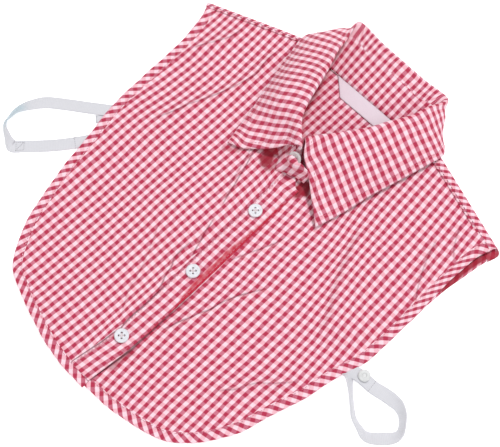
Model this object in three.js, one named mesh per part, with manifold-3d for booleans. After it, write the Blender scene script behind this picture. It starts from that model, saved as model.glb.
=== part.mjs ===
// A buttoned shirt-collar bib (dickey) laid flat on its back: two gingham fronts, a back panel,
// a collar on a stand, bias-bound edges and two elastic side straps. Millimetres, +Z up,
// +X to the wearer's left, +Y towards the collar.
import * as THREE from 'three';
import { mergeVertices } from 'three/addons/utils/BufferGeometryUtils.js';
import Module from 'manifold-3d';

const wasm = await Module();
wasm.setup();

// Walls and gaps
const CLOTH = 1.0;
const STIFF_CLOTH = 1.2;
const DOUBLE_CLOTH = 1.6;
const GAP = 0.3;

// Bias binding round the edges
const BINDING_WIDTH = 8;
const BINDING_STEP = 10;

// Heights above the table of the underside of each layer
const FRONT_LIFT = 2.2;
const PLACKET_LIFT = 4.0;
const SHOULDER_LIFT = 3.6;

// Grid of the folded fronts: fine across the folds, coarse along them
const FRONT_GRID = { across: 8, along: 12 };

// Fronts, by height up the body: where the left-hand and right-hand edges lie
const BODY_SECTIONS = [
  { y: 121, left: -162, right: 160.5 },
  { y: 104, left: -156, right: 155 },
  { y: 82, left: -152, right: 153 },
  { y: 55, left: -150, right: 152 },
  { y: 28, left: -149.5, right: 152 },
  { y: 4, left: -148.5, right: 151.2 },
  { y: -18, left: -145.5, right: 149.3 },
  { y: -45, left: -140, right: 141.2 },
  { y: -72, left: -135, right: 135 },
  { y: -98, left: -128.6, right: 126.5 },
  { y: -122, left: -121, right: 119 },
  { y: -141, left: -111.5, right: 108.5 },
];

// Hem, by distance from the middle: its height on each side
const HEM_SECTIONS = [
  { out: 99, left: -157.5, right: -153.5 },
  { out: 82, left: -165.5, right: -167 },
  { out: 60, left: -173, right: -174.5 },
  { out: 36, left: -179, right: -179 },
  { out: 12, left: -182.5, right: -180.5 },
];
const HEM_MIDDLE = { left: -182.8, right: -181, back: -181.4 };

// Back panel: how far its edge lies outside the front's, by height
const BACK_SHOWS = [
  { y: 121, left: -0.5, right: 4.5 },
  { y: 108, left: -0.5, right: 6.5 },
  { y: 90, left: -0.5, right: 5.0 },
  { y: 70, left: -0.5, right: 2.5 },
  { y: 50, left: -0.5, right: 0.8 },
  { y: 20, left: -0.5, right: -0.4 },
  { y: -190, left: -0.5, right: -0.5 },
];

// Shoulders: the fold line from tip to neck, and how far the back's cloth turns over it
const SHOULDERS = {
  left: { tip: [-162, 119.2], mid: [-76, 152], neck: [-59, 156], turn: 4.8, flare: 0 },
  right: { tip: [160.5, 122.4], mid: [80, 149.6], neck: [62, 155], turn: 8, flare: 4 },
};
const SHOULDER_TOP = 5.0;

// Button placket: its seam and its free edge, by height
const PLACKET_SECTIONS = [
  { y: 51, seam: -4, edge: 15 },
  { y: 30, seam: -3.4, edge: 16.5 },
  { y: -20, seam: -3.6, edge: 17 },
  { y: -80, seam: -3.2, edge: 17 },
  { y: -118, seam: -3.2, edge: 16.5 },
  { y: -146, seam: -4.4, edge: 14.6 },
  { y: -174.4, seam: -9, edge: 11.5 },
];
const UNDERLAP_EDGE = -10;

// Folds of the fronts: a ridge along each path, with its height and half width
const FOLDS = {
  left: [
    { path: [[-81, 146], [-85, 112], [-88, 70], [-104, 34], [-121, 3]], height: 2.4, width: 8 },
    { path: [[-122, 121], [-125, 102], [-142, 66]], height: 2.0, width: 8 },
    { path: [[-35, 47], [-27, 22], [-19, -3]], height: 1.6, width: 7 },
    { path: [[-42, -52], [-25, -90], [-8, -126]], height: 1.8, width: 9 },
    { path: [[-14, -30], [-12, -60], [-8, -84]], height: 1.2, width: 8 },
  ],
  right: [
    { path: [[38, 19], [30, -6], [18, -40]], height: 1.8, width: 8 },
    { path: [[52, -34], [37, -71], [20, -110]], height: 2.2, width: 9 },
    { path: [[124, -63], [101, -91], [72, -123]], height: 2.4, width: 9 },
    { path: [[120, 95], [130, 70], [143, 46]], height: 2.0, width: 8 },
    { path: [[77, 62], [92, 20], [112, -10], [114, -32]], height: 2.6, width: 11 },
  ],
};

// Collar, station by station from the wearer's right front round the back to the left front:
// seam on the neckline, fold line, middle of the turned-down leaf and leaf edge
const COLLAR_STATIONS = [
  { seam: [-7, 53, 5.2], fold: [-2, 67, 30], middle: [-26, 50.5, 23], edge: [-54, 35, 9] },
  { seam: [-21, 61, 5], fold: [-12, 77, 32], middle: [-35, 65, 25], edge: [-57, 52, 8.5] },
  { seam: [-33, 73, 5], fold: [-19, 85, 34], middle: [-42, 78, 27], edge: [-61, 72, 8] },
  { seam: [-43, 88, 5], fold: [-24, 98, 36], middle: [-49, 94, 27], edge: [-66, 92, 8] },
  { seam: [-50, 106, 5], fold: [-29, 116, 36], middle: [-54, 112, 26], edge: [-71, 112, 8] },
  { seam: [-54, 122, 5], fold: [-34, 133, 34], middle: [-60, 131, 23], edge: [-75, 132, 8] },
  { seam: [-55, 132, 5.8], fold: [-42, 153, 27], middle: [-64, 152, 19], edge: [-77.5, 151, 8.4] },
  { seam: [-54, 139, 6], fold: [-46, 168, 20], middle: [-63, 170, 12], edge: [-71, 165, 2] },
  { seam: [-51, 145, 5.4], fold: [-49, 180, 14], middle: [-60, 180, 6], edge: [-58, 168, 0.8] },
  { seam: [-45, 148, 3.4], fold: [-51, 191, 9.5], middle: [-52, 182, 1.8], edge: [-48, 152, 0.7] },
  { seam: [-24, 148.4, 2.4], fold: [-23, 192, 9], middle: [-23, 178, 1.8], edge: [-23, 149, 0.7] },
  { seam: [0, 148.4, 2.4], fold: [0, 191.5, 8.6], middle: [0, 178, 1.8], edge: [0, 148, 0.7] },
  { seam: [24, 148.4, 2.4], fold: [22, 190.6, 9], middle: [22, 177, 1.8], edge: [22, 148, 0.7] },
  { seam: [45, 148, 3.4], fold: [48.5, 191, 9], middle: [51, 182, 1.8], edge: [48, 152, 0.7] },
  { seam: [52, 146, 5.4], fold: [47.5, 182, 12.5], middle: [60, 180, 5.5], edge: [58, 168, 0.8] },
  { seam: [57, 140, 6], fold: [44, 171, 17], middle: [63, 170, 10], edge: [73, 165, 2] },
  { seam: [59, 133, 5.8], fold: [40, 154, 20], middle: [64, 153, 15], edge: [80.5, 151, 8.6] },
  { seam: [58, 122, 5], fold: [32, 137, 23], middle: [56, 135, 18], edge: [76, 136, 8] },
  { seam: [54, 107, 5], fold: [24, 119, 25], middle: [50, 119, 19], edge: [72, 121, 8] },
  { seam: [46, 91, 5], fold: [14, 104, 26], middle: [41, 103, 20], edge: [67, 103, 8] },
  { seam: [35, 76, 4.6], fold: [6, 92, 27], middle: [34, 87, 20], edge: [61, 82, 8] },
  { seam: [20, 63, 4], fold: [-1, 82, 28], middle: [26, 72, 20.5], edge: [56, 58, 8.5] },
  { seam: [4, 55.5, 3.6], fold: [-5, 75, 28], middle: [20, 54, 22], edge: [48, 34, 9] },
];

// The stand's ends run on past the leaf and lap at the front: lower and upper edge of each end
const STAND_ENDS = {
  right: [
    { seam: [11, 52.4, 6.4], top: [12, 56.5, 13.5] },
    { seam: [3, 52.6, 6.2], top: [4, 60, 20] },
  ],
  left: [
    { seam: [-3, 58.5, 3.6], top: [-9, 70.5, 20] },
    { seam: [-12, 62, 3.8], top: [-14.5, 69.5, 14.5] },
  ],
};
const STAND_SHARE = 0.72;
const FOLD_ROLL = 4.6;
const NECK_EASE = 1.2;

// Blank woven label at the back neck: height and the ends of its top and bottom edges
const LABEL = { top: 148, bottom: 132.5, topFrom: -34, topTo: 38, bottomFrom: -18, bottomTo: 23 };

// Shirt buttons: 18-line, four holes
const BUTTON = { across: 11.4, thick: 2.4, rim: 0.5, hole: 0.9, holeOffset: 1.5 };
const BUTTONS = [
  { name: 'button_top', x: 4.5, y: 9 },
  { name: 'button_middle', x: 5.5, y: -61 },
  { name: 'button_bottom', x: 4, y: -135 },
];
const COLLAR_BUTTON = { at: [-0.6, 59.6, 21.6], leanDeg: 58 };

// Elastic straps: the middle of the ribbon, its lean on edge and the height of its lower edge
const STRAP = { width: 10.5, thick: 1.0 };
const STRAP_RIGHT = [
  { x: -141, y: -9.8, lean: 0, rise: 2.4 },
  { x: -149, y: -15.5, lean: 0, rise: 2.0 },
  { x: -160, y: -23.5, lean: 0, rise: 1.0 },
  { x: -171.5, y: -31.5, lean: 0, rise: 0.1 },
  { x: -182, y: -39.5, lean: 4, rise: 0.1 },
  { x: -191.5, y: -48, lean: 16, rise: 0.1 },
  { x: -198.5, y: -57, lean: 42, rise: 0.1 },
  { x: -201.4, y: -67, lean: 60, rise: 0.1 },
  { x: -200.6, y: -77, lean: 64, rise: 0.1 },
  { x: -195.5, y: -84.5, lean: 64, rise: 0.1 },
  { x: -188, y: -89.5, lean: 56, rise: 0.1 },
  { x: -180.5, y: -90.5, lean: 28, rise: 0.1 },
  { x: -172.5, y: -85, lean: 6, rise: 0.1 },
  { x: -163, y: -74.5, lean: 0, rise: 0.1 },
  { x: -152, y: -62, lean: 0, rise: 0.1 },
  { x: -143.4, y: -52, lean: 0, rise: 0.1 },
  { x: -133, y: -40, lean: 0, rise: 0.1 },
];
const STRAP_LEFT = [
  { x: 140, y: -31.8, lean: 0, rise: 2.4 },
  { x: 150, y: -31.6, lean: 0, rise: 2.0 },
  { x: 159, y: -31, lean: 0, rise: 1.6 },
  { x: 168, y: -28.8, lean: 0, rise: 0.5 },
  { x: 178, y: -26.4, lean: 4, rise: 0.1 },
  { x: 187.5, y: -27, lean: 12, rise: 0.1 },
  { x: 195.5, y: -31.4, lean: 38, rise: 0.1 },
  { x: 200.8, y: -38.5, lean: 60, rise: 0.1 },
  { x: 203, y: -46, lean: 70, rise: 0.1 },
  { x: 199.6, y: -53.5, lean: 60, rise: 0.1 },
  { x: 193, y: -58.6, lean: 50, rise: 0.1 },
  { x: 185.5, y: -60, lean: 54, rise: 0.1 },
  { x: 177.5, y: -58.2, lean: 54, rise: 0.1 },
  { x: 169.5, y: -54, lean: 52, rise: 0.1 },
  { x: 161.5, y: -47.5, lean: 48, rise: 0.1 },
  { x: 154.5, y: -41.5, lean: 20, rise: 0.1 },
  { x: 148, y: -36, lean: 0, rise: 0.1 },
  { x: 140, y: -30, lean: 0, rise: 0.1 },
];
// Small dimpled button sewn on the end of the left strap
const STRAP_BUTTON = { across: 9.5, thick: 2.2, dimple: 1.0, dimpleAcross: 3.4 };
const STRAP_BUTTON_PLACE = { at: [155.4, -27, 3.85], leanDeg: 8, turnDeg: 0 };

// Colours
const FINISH = {
  gingham: { color: 0xe98aa6, roughness: 0.92, metalness: 0 },
  binding: { color: 0xe07d9b, roughness: 0.92, metalness: 0 },
  label: { color: 0xf3dfe9, roughness: 0.5, metalness: 0 },
  button: { color: 0xf1ece8, roughness: 0.3, metalness: 0 },
  elastic: { color: 0xf2f2f5, roughness: 0.85, metalness: 0 },
  clear_button: { color: 0xe3e6e6, roughness: 0.25, metalness: 0 },
};

const point = (p) => new THREE.Vector3(p[0], p[1], p[2] ?? 0);
const mix = (a, b, t) => a + (b - a) * t;
const clamp01 = (t) => Math.min(1, Math.max(0, t));
const smooth = (from, to, v) => {
  const t = clamp01((v - from) / (to - from));
  return t * t * (3 - 2 * t);
};

// Value of a column of a table at a height, between its rows
function columnAt(rows, key, column, v) {
  for (let i = 1; i < rows.length; i += 1) {
    const [a, b] = [rows[i - 1], rows[i]];
    if ((v - a[key]) * (v - b[key]) <= 0) {
      return mix(a[column], b[column], (v - a[key]) / (b[key] - a[key]));
    }
  }
  const first = rows[0];
  const last = rows[rows.length - 1];
  return Math.abs(v - first[key]) < Math.abs(v - last[key]) ? first[column] : last[column];
}

function curveThrough(points) {
  return new THREE.CatmullRomCurve3(points, false, 'centripetal');
}

function spaced(points, step) {
  const curve = curveThrough(points);
  return curve.getSpacedPoints(Math.ceil(curve.getLength() / step));
}

// A flat line moved sideways by a distance, to the left of its own direction
function movedLeft(line, distance) {
  return line.map((p, i) => {
    const before = line[Math.max(0, i - 1)];
    const after = line[Math.min(line.length - 1, i + 1)];
    const along = after.clone().sub(before).setZ(0).normalize();
    return new THREE.Vector3(p.x - along.y * distance, p.y + along.x * distance, p.z);
  });
}

function distanceTo(line, x, y) {
  let best = Infinity;
  for (let i = 1; i < line.length; i += 1) {
    const [a, b] = [line[i - 1], line[i]];
    const [dx, dy] = [b.x - a.x, b.y - a.y];
    const t = clamp01(((x - a.x) * dx + (y - a.y) * dy) / (dx * dx + dy * dy));
    best = Math.min(best, Math.hypot(x - a.x - dx * t, y - a.y - dy * t));
  }
  return best;
}

// A closed mesh from loose faces, with its faces turned outwards
function closedMesh(positions, faces) {
  const geometry = new THREE.BufferGeometry();
  geometry.setAttribute('position', new THREE.Float32BufferAttribute(positions.flat(), 3));
  let volume = 0;
  for (const [a, b, c] of faces) {
    const [p, q, r] = [point(positions[a]), point(positions[b]), point(positions[c])];
    volume += p.dot(q.cross(r));
  }
  geometry.setIndex(volume > 0 ? faces.flat() : faces.map(([a, b, c]) => [a, c, b]).flat());
  return geometry;
}

// A wall of cloth on a grid of points, thickened about the grid, or upwards from it
function wall(grid, thick, upwards = false) {
  const rows = grid.length;
  const columns = grid[0].length;
  const top = [];
  const bottom = [];
  for (let i = 0; i < rows; i += 1) {
    for (let j = 0; j < columns; j += 1) {
      const p = grid[i][j];
      const down = grid[Math.max(0, i - 1)][j];
      const up = grid[Math.min(rows - 1, i + 1)][j];
      const left = grid[i][Math.max(0, j - 1)];
      const right = grid[i][Math.min(columns - 1, j + 1)];
      const normal = up.clone().sub(down).cross(right.clone().sub(left)).normalize();
      if (upwards) normal.set(0, 0, 1);
      const [over, under] = upwards ? [thick, 0] : [thick / 2, -thick / 2];
      top.push(p.clone().addScaledVector(normal, over).toArray());
      bottom.push(p.clone().addScaledVector(normal, under).toArray());
    }
  }
  const at = (i, j) => i * columns + j;
  const low = rows * columns;
  const faces = [];
  const quad = (a, b, c, d) => faces.push([a, b, c], [a, c, d]);
  for (let i = 0; i < rows - 1; i += 1) {
    for (let j = 0; j < columns - 1; j += 1) {
      quad(at(i, j), at(i + 1, j), at(i + 1, j + 1), at(i, j + 1));
      quad(low + at(i, j), low + at(i, j + 1), low + at(i + 1, j + 1), low + at(i + 1, j));
    }
  }
  const rim = [];
  for (let j = 0; j < columns; j += 1) rim.push(at(0, j));
  for (let i = 1; i < rows; i += 1) rim.push(at(i, columns - 1));
  for (let j = columns - 2; j >= 0; j -= 1) rim.push(at(rows - 1, j));
  for (let i = rows - 2; i > 0; i -= 1) rim.push(at(i, 0));
  rim.forEach((a, k) => {
    const b = rim[(k + 1) % rim.length];
    quad(a, b, low + b, low + a);
  });
  return closedMesh([...top, ...bottom], faces);
}

function toSolid(geometry) {
  const bare = geometry.clone();
  bare.deleteAttribute('normal');
  bare.deleteAttribute('uv');
  const merged = mergeVertices(bare, 1e-4);
  return new wasm.Manifold(new wasm.Mesh({
    numProp: 3,
    vertProperties: new Float32Array(merged.attributes.position.array),
    triVerts: new Uint32Array(merged.index.array),
  }));
}

function fromSolid(solid) {
  const mesh = solid.getMesh();
  const geometry = new THREE.BufferGeometry();
  geometry.setAttribute('position', new THREE.Float32BufferAttribute(mesh.vertProperties, 3));
  geometry.setIndex(Array.from(mesh.triVerts));
  return geometry;
}

// An upright solid over a flat outline
function prism(outline, low, high) {
  const shape = new THREE.Shape(outline.map((p) => new THREE.Vector2(p.x, p.y)));
  const geometry = new THREE.ExtrudeGeometry(shape, { depth: high - low, bevelEnabled: false });
  geometry.translate(0, 0, low);
  return toSolid(geometry);
}

// The outer edge of a front, from the shoulder tip down and along the hem; extra moves it outwards
function bodyEdge(side, extra = () => 0, middleOf = side) {
  const sign = side === 'left' ? -1 : 1;
  const sides = BODY_SECTIONS.map((s) => point([s[side] + sign * extra(s.y), s.y]));
  const hem = HEM_SECTIONS.map((s) => point([sign * s.out, s[side] - extra(s[side])]));
  const middle = point([0, HEM_MIDDLE[middleOf]]);
  return spaced([...sides, ...hem, middle], BINDING_STEP);
}

function shoulderLine(side) {
  const { tip, mid, neck } = SHOULDERS[side];
  const towardsNeck = [tip, mid, neck].map(point);
  const start = towardsNeck[0].clone().sub(towardsNeck[1]).multiplyScalar(0.2).add(towardsNeck[0]);
  return [start, ...towardsNeck];
}

// Everything on the body's side of both shoulder lines moved inwards
function belowShoulders(inwardsOf, low, high) {
  const left = movedLeft(shoulderLine('left'), -inwardsOf('left'));
  const right = movedLeft(shoulderLine('right'), inwardsOf('right')).reverse();
  const foot = [point([260, 100]), point([260, -250]), point([-260, -250]), point([-260, 100])];
  return prism([...left, ...right, ...foot].reverse(), low, high);
}

const belowSeam = (side) => SHOULDERS[side].turn + GAP;

// Neck hole: the collar's seam moved outwards, closed across the front
function neckHole(low, high) {
  const ring = COLLAR_STATIONS.map((s) => point([s.seam[0], s.seam[1]]));
  const centre = point([2, 105]);
  const eased = ring.map((p) => {
    const out = p.clone().sub(centre).normalize();
    return p.clone().addScaledVector(out, NECK_EASE);
  });
  return prism(eased, low, high);
}

// Underside of a front at a place
function frontHeight(side, edge) {
  const shoulder = shoulderLine(side);
  const ridges = FOLDS[side].map((fold) => ({
    line: curveThrough(fold.path.map(point)).getPoints(12),
    height: fold.height,
    width: fold.width,
  }));
  return (x, y) => {
    const inside = distanceTo(edge, x, y);
    const underShoulder = distanceTo(shoulder, x, y);
    let height = FRONT_LIFT;
    if (side === 'left') {
      height = mix(FRONT_LIFT, PLACKET_LIFT, smooth(-90, -14, x));
    }
    height = mix(SHOULDER_LIFT, height, smooth(9, 30, underShoulder));
    const calm = side === 'left' ? smooth(-3, -15, x) : smooth(17, 28, x);
    const free = calm * smooth(9, 24, inside) * smooth(10, 26, underShoulder);
    for (const ridge of ridges) {
      const away = distanceTo(ridge.line, x, y) / ridge.width;
      height += free * ridge.height * Math.exp(-away * away * 2);
    }
    return height;
  };
}

// A front panel: a folded slab of cloth cut to the edge inside the binding
function frontPanel(side, edge, height) {
  const sign = side === 'left' ? -1 : 1;
  const far = sign * 170;
  const near = side === 'left' ? 4 : UNDERLAP_EDGE - 4;
  const acrossCount = Math.round(Math.abs(far - near) / FRONT_GRID.across);
  const alongCount = Math.round(350 / FRONT_GRID.along);
  const grid = [];
  for (let i = 0; i <= alongCount; i += 1) {
    const y = mix(-190, 160, i / alongCount);
    const row = [];
    for (let j = 0; j <= acrossCount; j += 1) {
      const x = mix(far, near, j / acrossCount);
      row.push(new THREE.Vector3(x, y, height(x, y)));
    }
    grid.push(row);
  }
  const inner = movedLeft(edge, -sign * (BINDING_WIDTH + GAP));
  const frontEdge = side === 'left'
    ? PLACKET_SECTIONS.map((s) => point([s.seam - GAP, s.y])).reverse()
    : [point([UNDERLAP_EDGE, -172]), point([UNDERLAP_EDGE, 51])];
  const start = frontEdge[0];
  const reach = inner.filter((p) => sign * (p.x - start.x) > 1);
  const neckSide = SHOULDERS[side].neck[0] + sign * 0.5;
  const top = [
    point([frontEdge[frontEdge.length - 1].x, 80]),
    point([neckSide - sign * 17, 125]),
    point([neckSide - sign * 2, 150]),
    point([neckSide, 162]),
    point([sign * 175, 162]),
  ];
  const outline = [point([sign * 175, reach[0].y]), ...reach, ...frontEdge, ...top];
  const corners = sign < 0 ? outline : outline.reverse();
  return toSolid(wall(grid, CLOTH, true))
    .intersect(prism(corners, -5, 30))
    .intersect(belowShoulders(belowSeam, -6, 31))
    .subtract(neckHole(-7, 40));
}

// Bias strip on an edge, cut off below the turned-over shoulder
function bindingStrip(edge, sign, thick, undersideAt) {
  const inner = movedLeft(edge, -sign * BINDING_WIDTH);
  const grid = edge.map((p, i) => [p, inner[i]].map((q) => (
    new THREE.Vector3(q.x, q.y, undersideAt(q.x, q.y)))));
  return toSolid(wall(grid, thick, true));
}

// The back's cloth turned over the shoulder, from the table round to the seam with the front
function shoulderTurn(side) {
  const sign = side === 'left' ? -1 : 1;
  const { turn, flare } = SHOULDERS[side];
  const half = CLOTH / 2;
  const profile = [
    { inwards: 12, z: half },
    { inwards: 4, z: half },
    { inwards: 1.3, z: 1.1 },
    { inwards: half, z: 2.6 },
    { inwards: 1.4, z: 4.2 },
    { inwards: turn * 0.55, z: SHOULDER_TOP - half + 0.2 },
    { inwards: turn, z: SHOULDER_LIFT + half },
  ];
  const line = shoulderLine(side).slice(1);
  const stations = spaced(line, 14);
  const outwards = stations[0].clone().sub(stations[1]).normalize();
  const columns = profile.map(({ inwards, z }) => {
    const moved = movedLeft(stations, sign * inwards);
    const spread = flare * (1 - clamp01(z / SHOULDER_TOP));
    moved[0].addScaledVector(outwards, spread);
    return moved.map((p) => new THREE.Vector3(p.x, p.y, z));
  });
  const grid = stations.map((_, i) => columns.map((column) => column[i]));
  return toSolid(wall(grid, CLOTH));
}

function backEdge(side) {
  return bodyEdge(side, (y) => columnAt(BACK_SHOWS, 'y', side, y), 'back');
}

function backPanel() {
  const left = movedLeft(backEdge('left'), BINDING_WIDTH + GAP);
  const right = movedLeft(backEdge('right'), -BINDING_WIDTH - GAP);
  const top = [[175, 121], [175, 162], [-175, 162], [-175, 121]].map(point);
  const body = [...left, ...right.slice(0, -1).reverse(), ...top];
  const neck = [[-49, 165], [-48, 149], [-44, 146.6], [0, 146.6], [46, 146.6], [50, 149], [51, 165]];
  return prism(body, 0, CLOTH)
    .intersect(belowShoulders(() => 6, -1, CLOTH + 1))
    .subtract(prism(neck.map(point).reverse(), -1, CLOTH + 1))
    .add(shoulderTurn('left'))
    .add(shoulderTurn('right'));
}

function backBinding() {
  const strips = ['left', 'right'].map((side) => {
    const sign = side === 'left' ? -1 : 1;
    return bindingStrip(backEdge(side), sign, DOUBLE_CLOTH, () => 0)
      .intersect(belowShoulders(() => 13, -1, 5));
  });
  return strips[0].add(strips[1]);
}

// The placket: a doubled strip from the seam to the free edge
function placket(height) {
  const rows = spaced(PLACKET_SECTIONS.map((s) => point([s.seam, s.y])), 14);
  const grid = rows.map((p) => {
    const edge = columnAt(PLACKET_SECTIONS, 'y', 'edge', p.y);
    return [0, 0.5, 1].map((t) => {
      const x = mix(p.x, edge, t);
      return new THREE.Vector3(x, p.y, height(x, p.y));
    });
  });
  return toSolid(wall(grid, DOUBLE_CLOTH, true));
}

const along = (from, to, share) => from.clone().lerp(to, share);

// Where the stand and the leaf run at one station: the fold is a small roll over the fold line
function foldAt(station) {
  const [seam, fold, edge] = [station.seam, station.fold, station.edge].map(point);
  const over = fold.clone().sub(seam).normalize().add(fold.clone().sub(edge).normalize()).normalize();
  const out = edge.clone().sub(fold);
  out.addScaledVector(over, -out.dot(over)).normalize();
  const under = fold.clone().addScaledVector(over, -FOLD_ROLL * 0.55);
  const standSide = under.clone().addScaledVector(out, -FOLD_ROLL / 2);
  const leafSide = under.clone().addScaledVector(out, FOLD_ROLL / 2);
  return { seam, fold, edge, over, out, standSide, leafSide };
}

// Stations between the table's rows, so that the collar runs round smoothly
function between(rows, columns, steps) {
  const tracks = {};
  for (const column of columns) {
    const curve = curveThrough(rows.map((row) => point(row[column])));
    tracks[column] = curve.getPoints((rows.length - 1) * steps);
  }
  return tracks[columns[0]].map((_, i) => {
    const row = {};
    for (const column of columns) row[column] = tracks[column][i].toArray();
    return row;
  });
}

function collarStand() {
  const stations = between(COLLAR_STATIONS, ['seam', 'fold', 'edge'], 2);
  const body = stations.map((station) => {
    const { seam, standSide } = foldAt(station);
    return { seam, top: along(seam, standSide, STAND_SHARE) };
  });
  const ends = (rows) => rows.map((row) => ({ seam: point(row.seam), top: point(row.top) }));
  const all = [...ends(STAND_ENDS.right), ...body, ...ends(STAND_ENDS.left)];
  const grid = all.map(({ seam, top }) => [0, 0.5, 1].map((t) => along(seam, top, t)));
  return wall(grid, STIFF_CLOTH);
}

function collarLeaf() {
  const stations = between(COLLAR_STATIONS, ['seam', 'fold', 'middle', 'edge'], 2);
  const grid = stations.map((station) => {
    const { seam, fold, edge, over, out, standSide, leafSide } = foldAt(station);
    const height = seam.distanceTo(standSide);
    const path = curveThrough([
      along(seam, standSide, STAND_SHARE + 0.9 / height),
      standSide,
      fold.clone().addScaledVector(over, -0.9).addScaledVector(out, -FOLD_ROLL * 0.32),
      fold,
      fold.clone().addScaledVector(over, -0.9).addScaledVector(out, FOLD_ROLL * 0.32),
      leafSide,
      point(station.middle),
      edge,
    ]);
    const shares = [0, 0.5, 1, 2, 3, 4, 5, 5.5, 6, 6.5, 7].map((k) => k / 7);
    return shares.map((share) => {
      const p = path.getPoint(share);
      return p.setZ(Math.max(p.z, STIFF_CLOTH / 2 + 0.05));
    });
  });
  return wall(grid, STIFF_CLOTH);
}

function neckLabel() {
  const lift = CLOTH + GAP;
  const row = (y, from, to) => [0, 1].map((t) => new THREE.Vector3(mix(from, to, t), y, lift));
  const { top, bottom, topFrom, topTo, bottomFrom, bottomTo } = LABEL;
  return wall([row(bottom, bottomFrom, bottomTo), row(top - 1, topFrom, topTo)], CLOTH, true);
}

// A four-hole button with a raised rim, its underside at z = 0
function buttonShape() {
  const { across, thick, rim, hole, holeOffset } = BUTTON;
  const r = across / 2;
  const profile = [
    [0, 0], [r - 1.2, 0], [r, 0.8], [r, thick - 0.6], [r - 0.6, thick], [r - 1.4, thick],
    [r - 2.4, thick - rim], [0, thick - rim],
  ];
  const lathe = new THREE.LatheGeometry(profile.map(([x, y]) => new THREE.Vector2(x, y)), 18);
  lathe.rotateX(Math.PI / 2);
  let solid = toSolid(lathe);
  for (const [sx, sy] of [[1, 1], [1, -1], [-1, 1], [-1, -1]]) {
    const drill = new THREE.CylinderGeometry(hole, hole, thick * 3, 6);
    drill.rotateX(Math.PI / 2);
    drill.translate(sx * holeOffset, sy * holeOffset, 0);
    solid = solid.subtract(toSolid(drill));
  }
  return fromSolid(solid);
}

// An elastic ribbon along its route, standing on edge where it turns
function ribbon(rows) {
  const steps = 2;
  const middle = curveThrough(rows.map((r) => point([r.x, r.y]))).getPoints((rows.length - 1) * steps);
  const grid = middle.map((p, i) => {
    const at = i / steps;
    const low = rows[Math.floor(at)];
    const high = rows[Math.min(rows.length - 1, Math.floor(at) + 1)];
    const lean = THREE.MathUtils.degToRad(mix(low.lean, high.lean, at - Math.floor(at)));
    const rise = mix(low.rise, high.rise, at - Math.floor(at));
    const before = middle[Math.max(0, i - 1)];
    const after = middle[Math.min(middle.length - 1, i + 1)];
    const forward = after.clone().sub(before).normalize();
    const sideways = new THREE.Vector3(-forward.y, forward.x, 0);
    const half = STRAP.width / 2;
    const lift = rise + STRAP.thick / 2 * Math.cos(lean);
    return [0, 1].map((edge) => {
      const s = edge * 2 - 1;
      const q = p.clone().addScaledVector(sideways, s * half * Math.cos(lean));
      return q.setZ(lift + edge * 2 * half * Math.sin(lean));
    });
  });
  return toSolid(wall(grid, STRAP.thick));
}

// The dimpled button of the strap, its underside at z = 0
function dimpledButton() {
  const { across, thick, dimple, dimpleAcross } = STRAP_BUTTON;
  const r = across / 2;
  const profile = [
    [0, 0], [r - 0.8, 0], [r, 0.7], [r, thick - 0.7], [r - 0.8, thick], [dimpleAcross / 2 + 0.4, thick],
    [dimpleAcross / 2 - 0.3, thick - dimple], [0, thick - dimple],
  ];
  const lathe = new THREE.LatheGeometry(profile.map(([x, y]) => new THREE.Vector2(x, y)), 18);
  return lathe.rotateX(Math.PI / 2);
}

// The fronts' whole outline, grown by a gap, where the straps end
function bodyGrown(grow, edges) {
  const left = movedLeft(edges.left, -grow);
  const right = movedLeft(edges.right, grow);
  return prism([...left, ...right.slice(0, -1).reverse(), point([0, 180])], -1, 20);
}

const dickey = new THREE.Group();

function add(name, geometry, finish, place = {}) {
  const mesh = new THREE.Mesh(geometry, new THREE.MeshStandardMaterial(FINISH[finish]));
  mesh.name = name;
  if (place.at) mesh.position.set(...place.at);
  mesh.rotation.set(
    THREE.MathUtils.degToRad(place.leanDeg ?? 0), 0, THREE.MathUtils.degToRad(place.turnDeg ?? 0));
  dickey.add(mesh);
}

// The wearer's right front lies on the left of the view and buttons over the left front
const edges = { left: bodyEdge('left'), right: bodyEdge('right') };
const heights = {
  left: frontHeight('left', edges.left),
  right: frontHeight('right', edges.right),
};

add('back_panel', fromSolid(backPanel()), 'gingham');
add('back_binding', fromSolid(backBinding()), 'binding');

for (const [side, wearer] of [['left', 'right'], ['right', 'left']]) {
  const sign = side === 'left' ? -1 : 1;
  const panel = frontPanel(side, edges[side], heights[side]);
  const overlap = side === 'left' ? PLACKET_SECTIONS[6].edge : -UNDERLAP_EDGE;
  const hemEnd = edges[side][edges[side].length - 1];
  const reachIn = point([-sign * overlap, hemEnd.y]);
  const strip = bindingStrip(
    [...edges[side], reachIn], sign, DOUBLE_CLOTH, (x, y) => heights[side](x, y) - GAP);
  const cut = strip.intersect(belowShoulders(belowSeam, -6, 31));
  add(`front_panel_${wearer}`, fromSolid(panel), 'gingham');
  add(`front_binding_${wearer}`, fromSolid(cut), 'binding');
}

add('button_placket', fromSolid(placket(heights.left)), 'gingham');
add('collar_stand', collarStand(), 'gingham');
add('collar_leaf', collarLeaf(), 'gingham');
add('neck_label', neckLabel(), 'label');

for (const { name, x, y } of BUTTONS) {
  const seat = PLACKET_LIFT + DOUBLE_CLOTH + GAP;
  add(name, buttonShape(), 'button', { at: [x, y, seat] });
}
add('collar_button', buttonShape(), 'button', COLLAR_BUTTON);

const fronts = bodyGrown(GAP, edges);
add('strap_right', fromSolid(ribbon(STRAP_RIGHT).subtract(fronts)), 'elastic');
add('strap_left', fromSolid(ribbon(STRAP_LEFT).subtract(fronts)), 'elastic');
add('strap_button', dimpledButton(), 'clear_button', STRAP_BUTTON_PLACE);

// The origin is the middle of the footprint, on the table
const extent = new THREE.Box3().setFromObject(dickey);
const footprint = extent.getCenter(new THREE.Vector3());
dickey.position.set(-footprint.x, -footprint.y, -extent.min.z);

export default dickey;
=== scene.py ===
"""A gingham dickey laid flat: cloth, bindings, collar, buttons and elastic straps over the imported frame."""

import math

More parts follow.
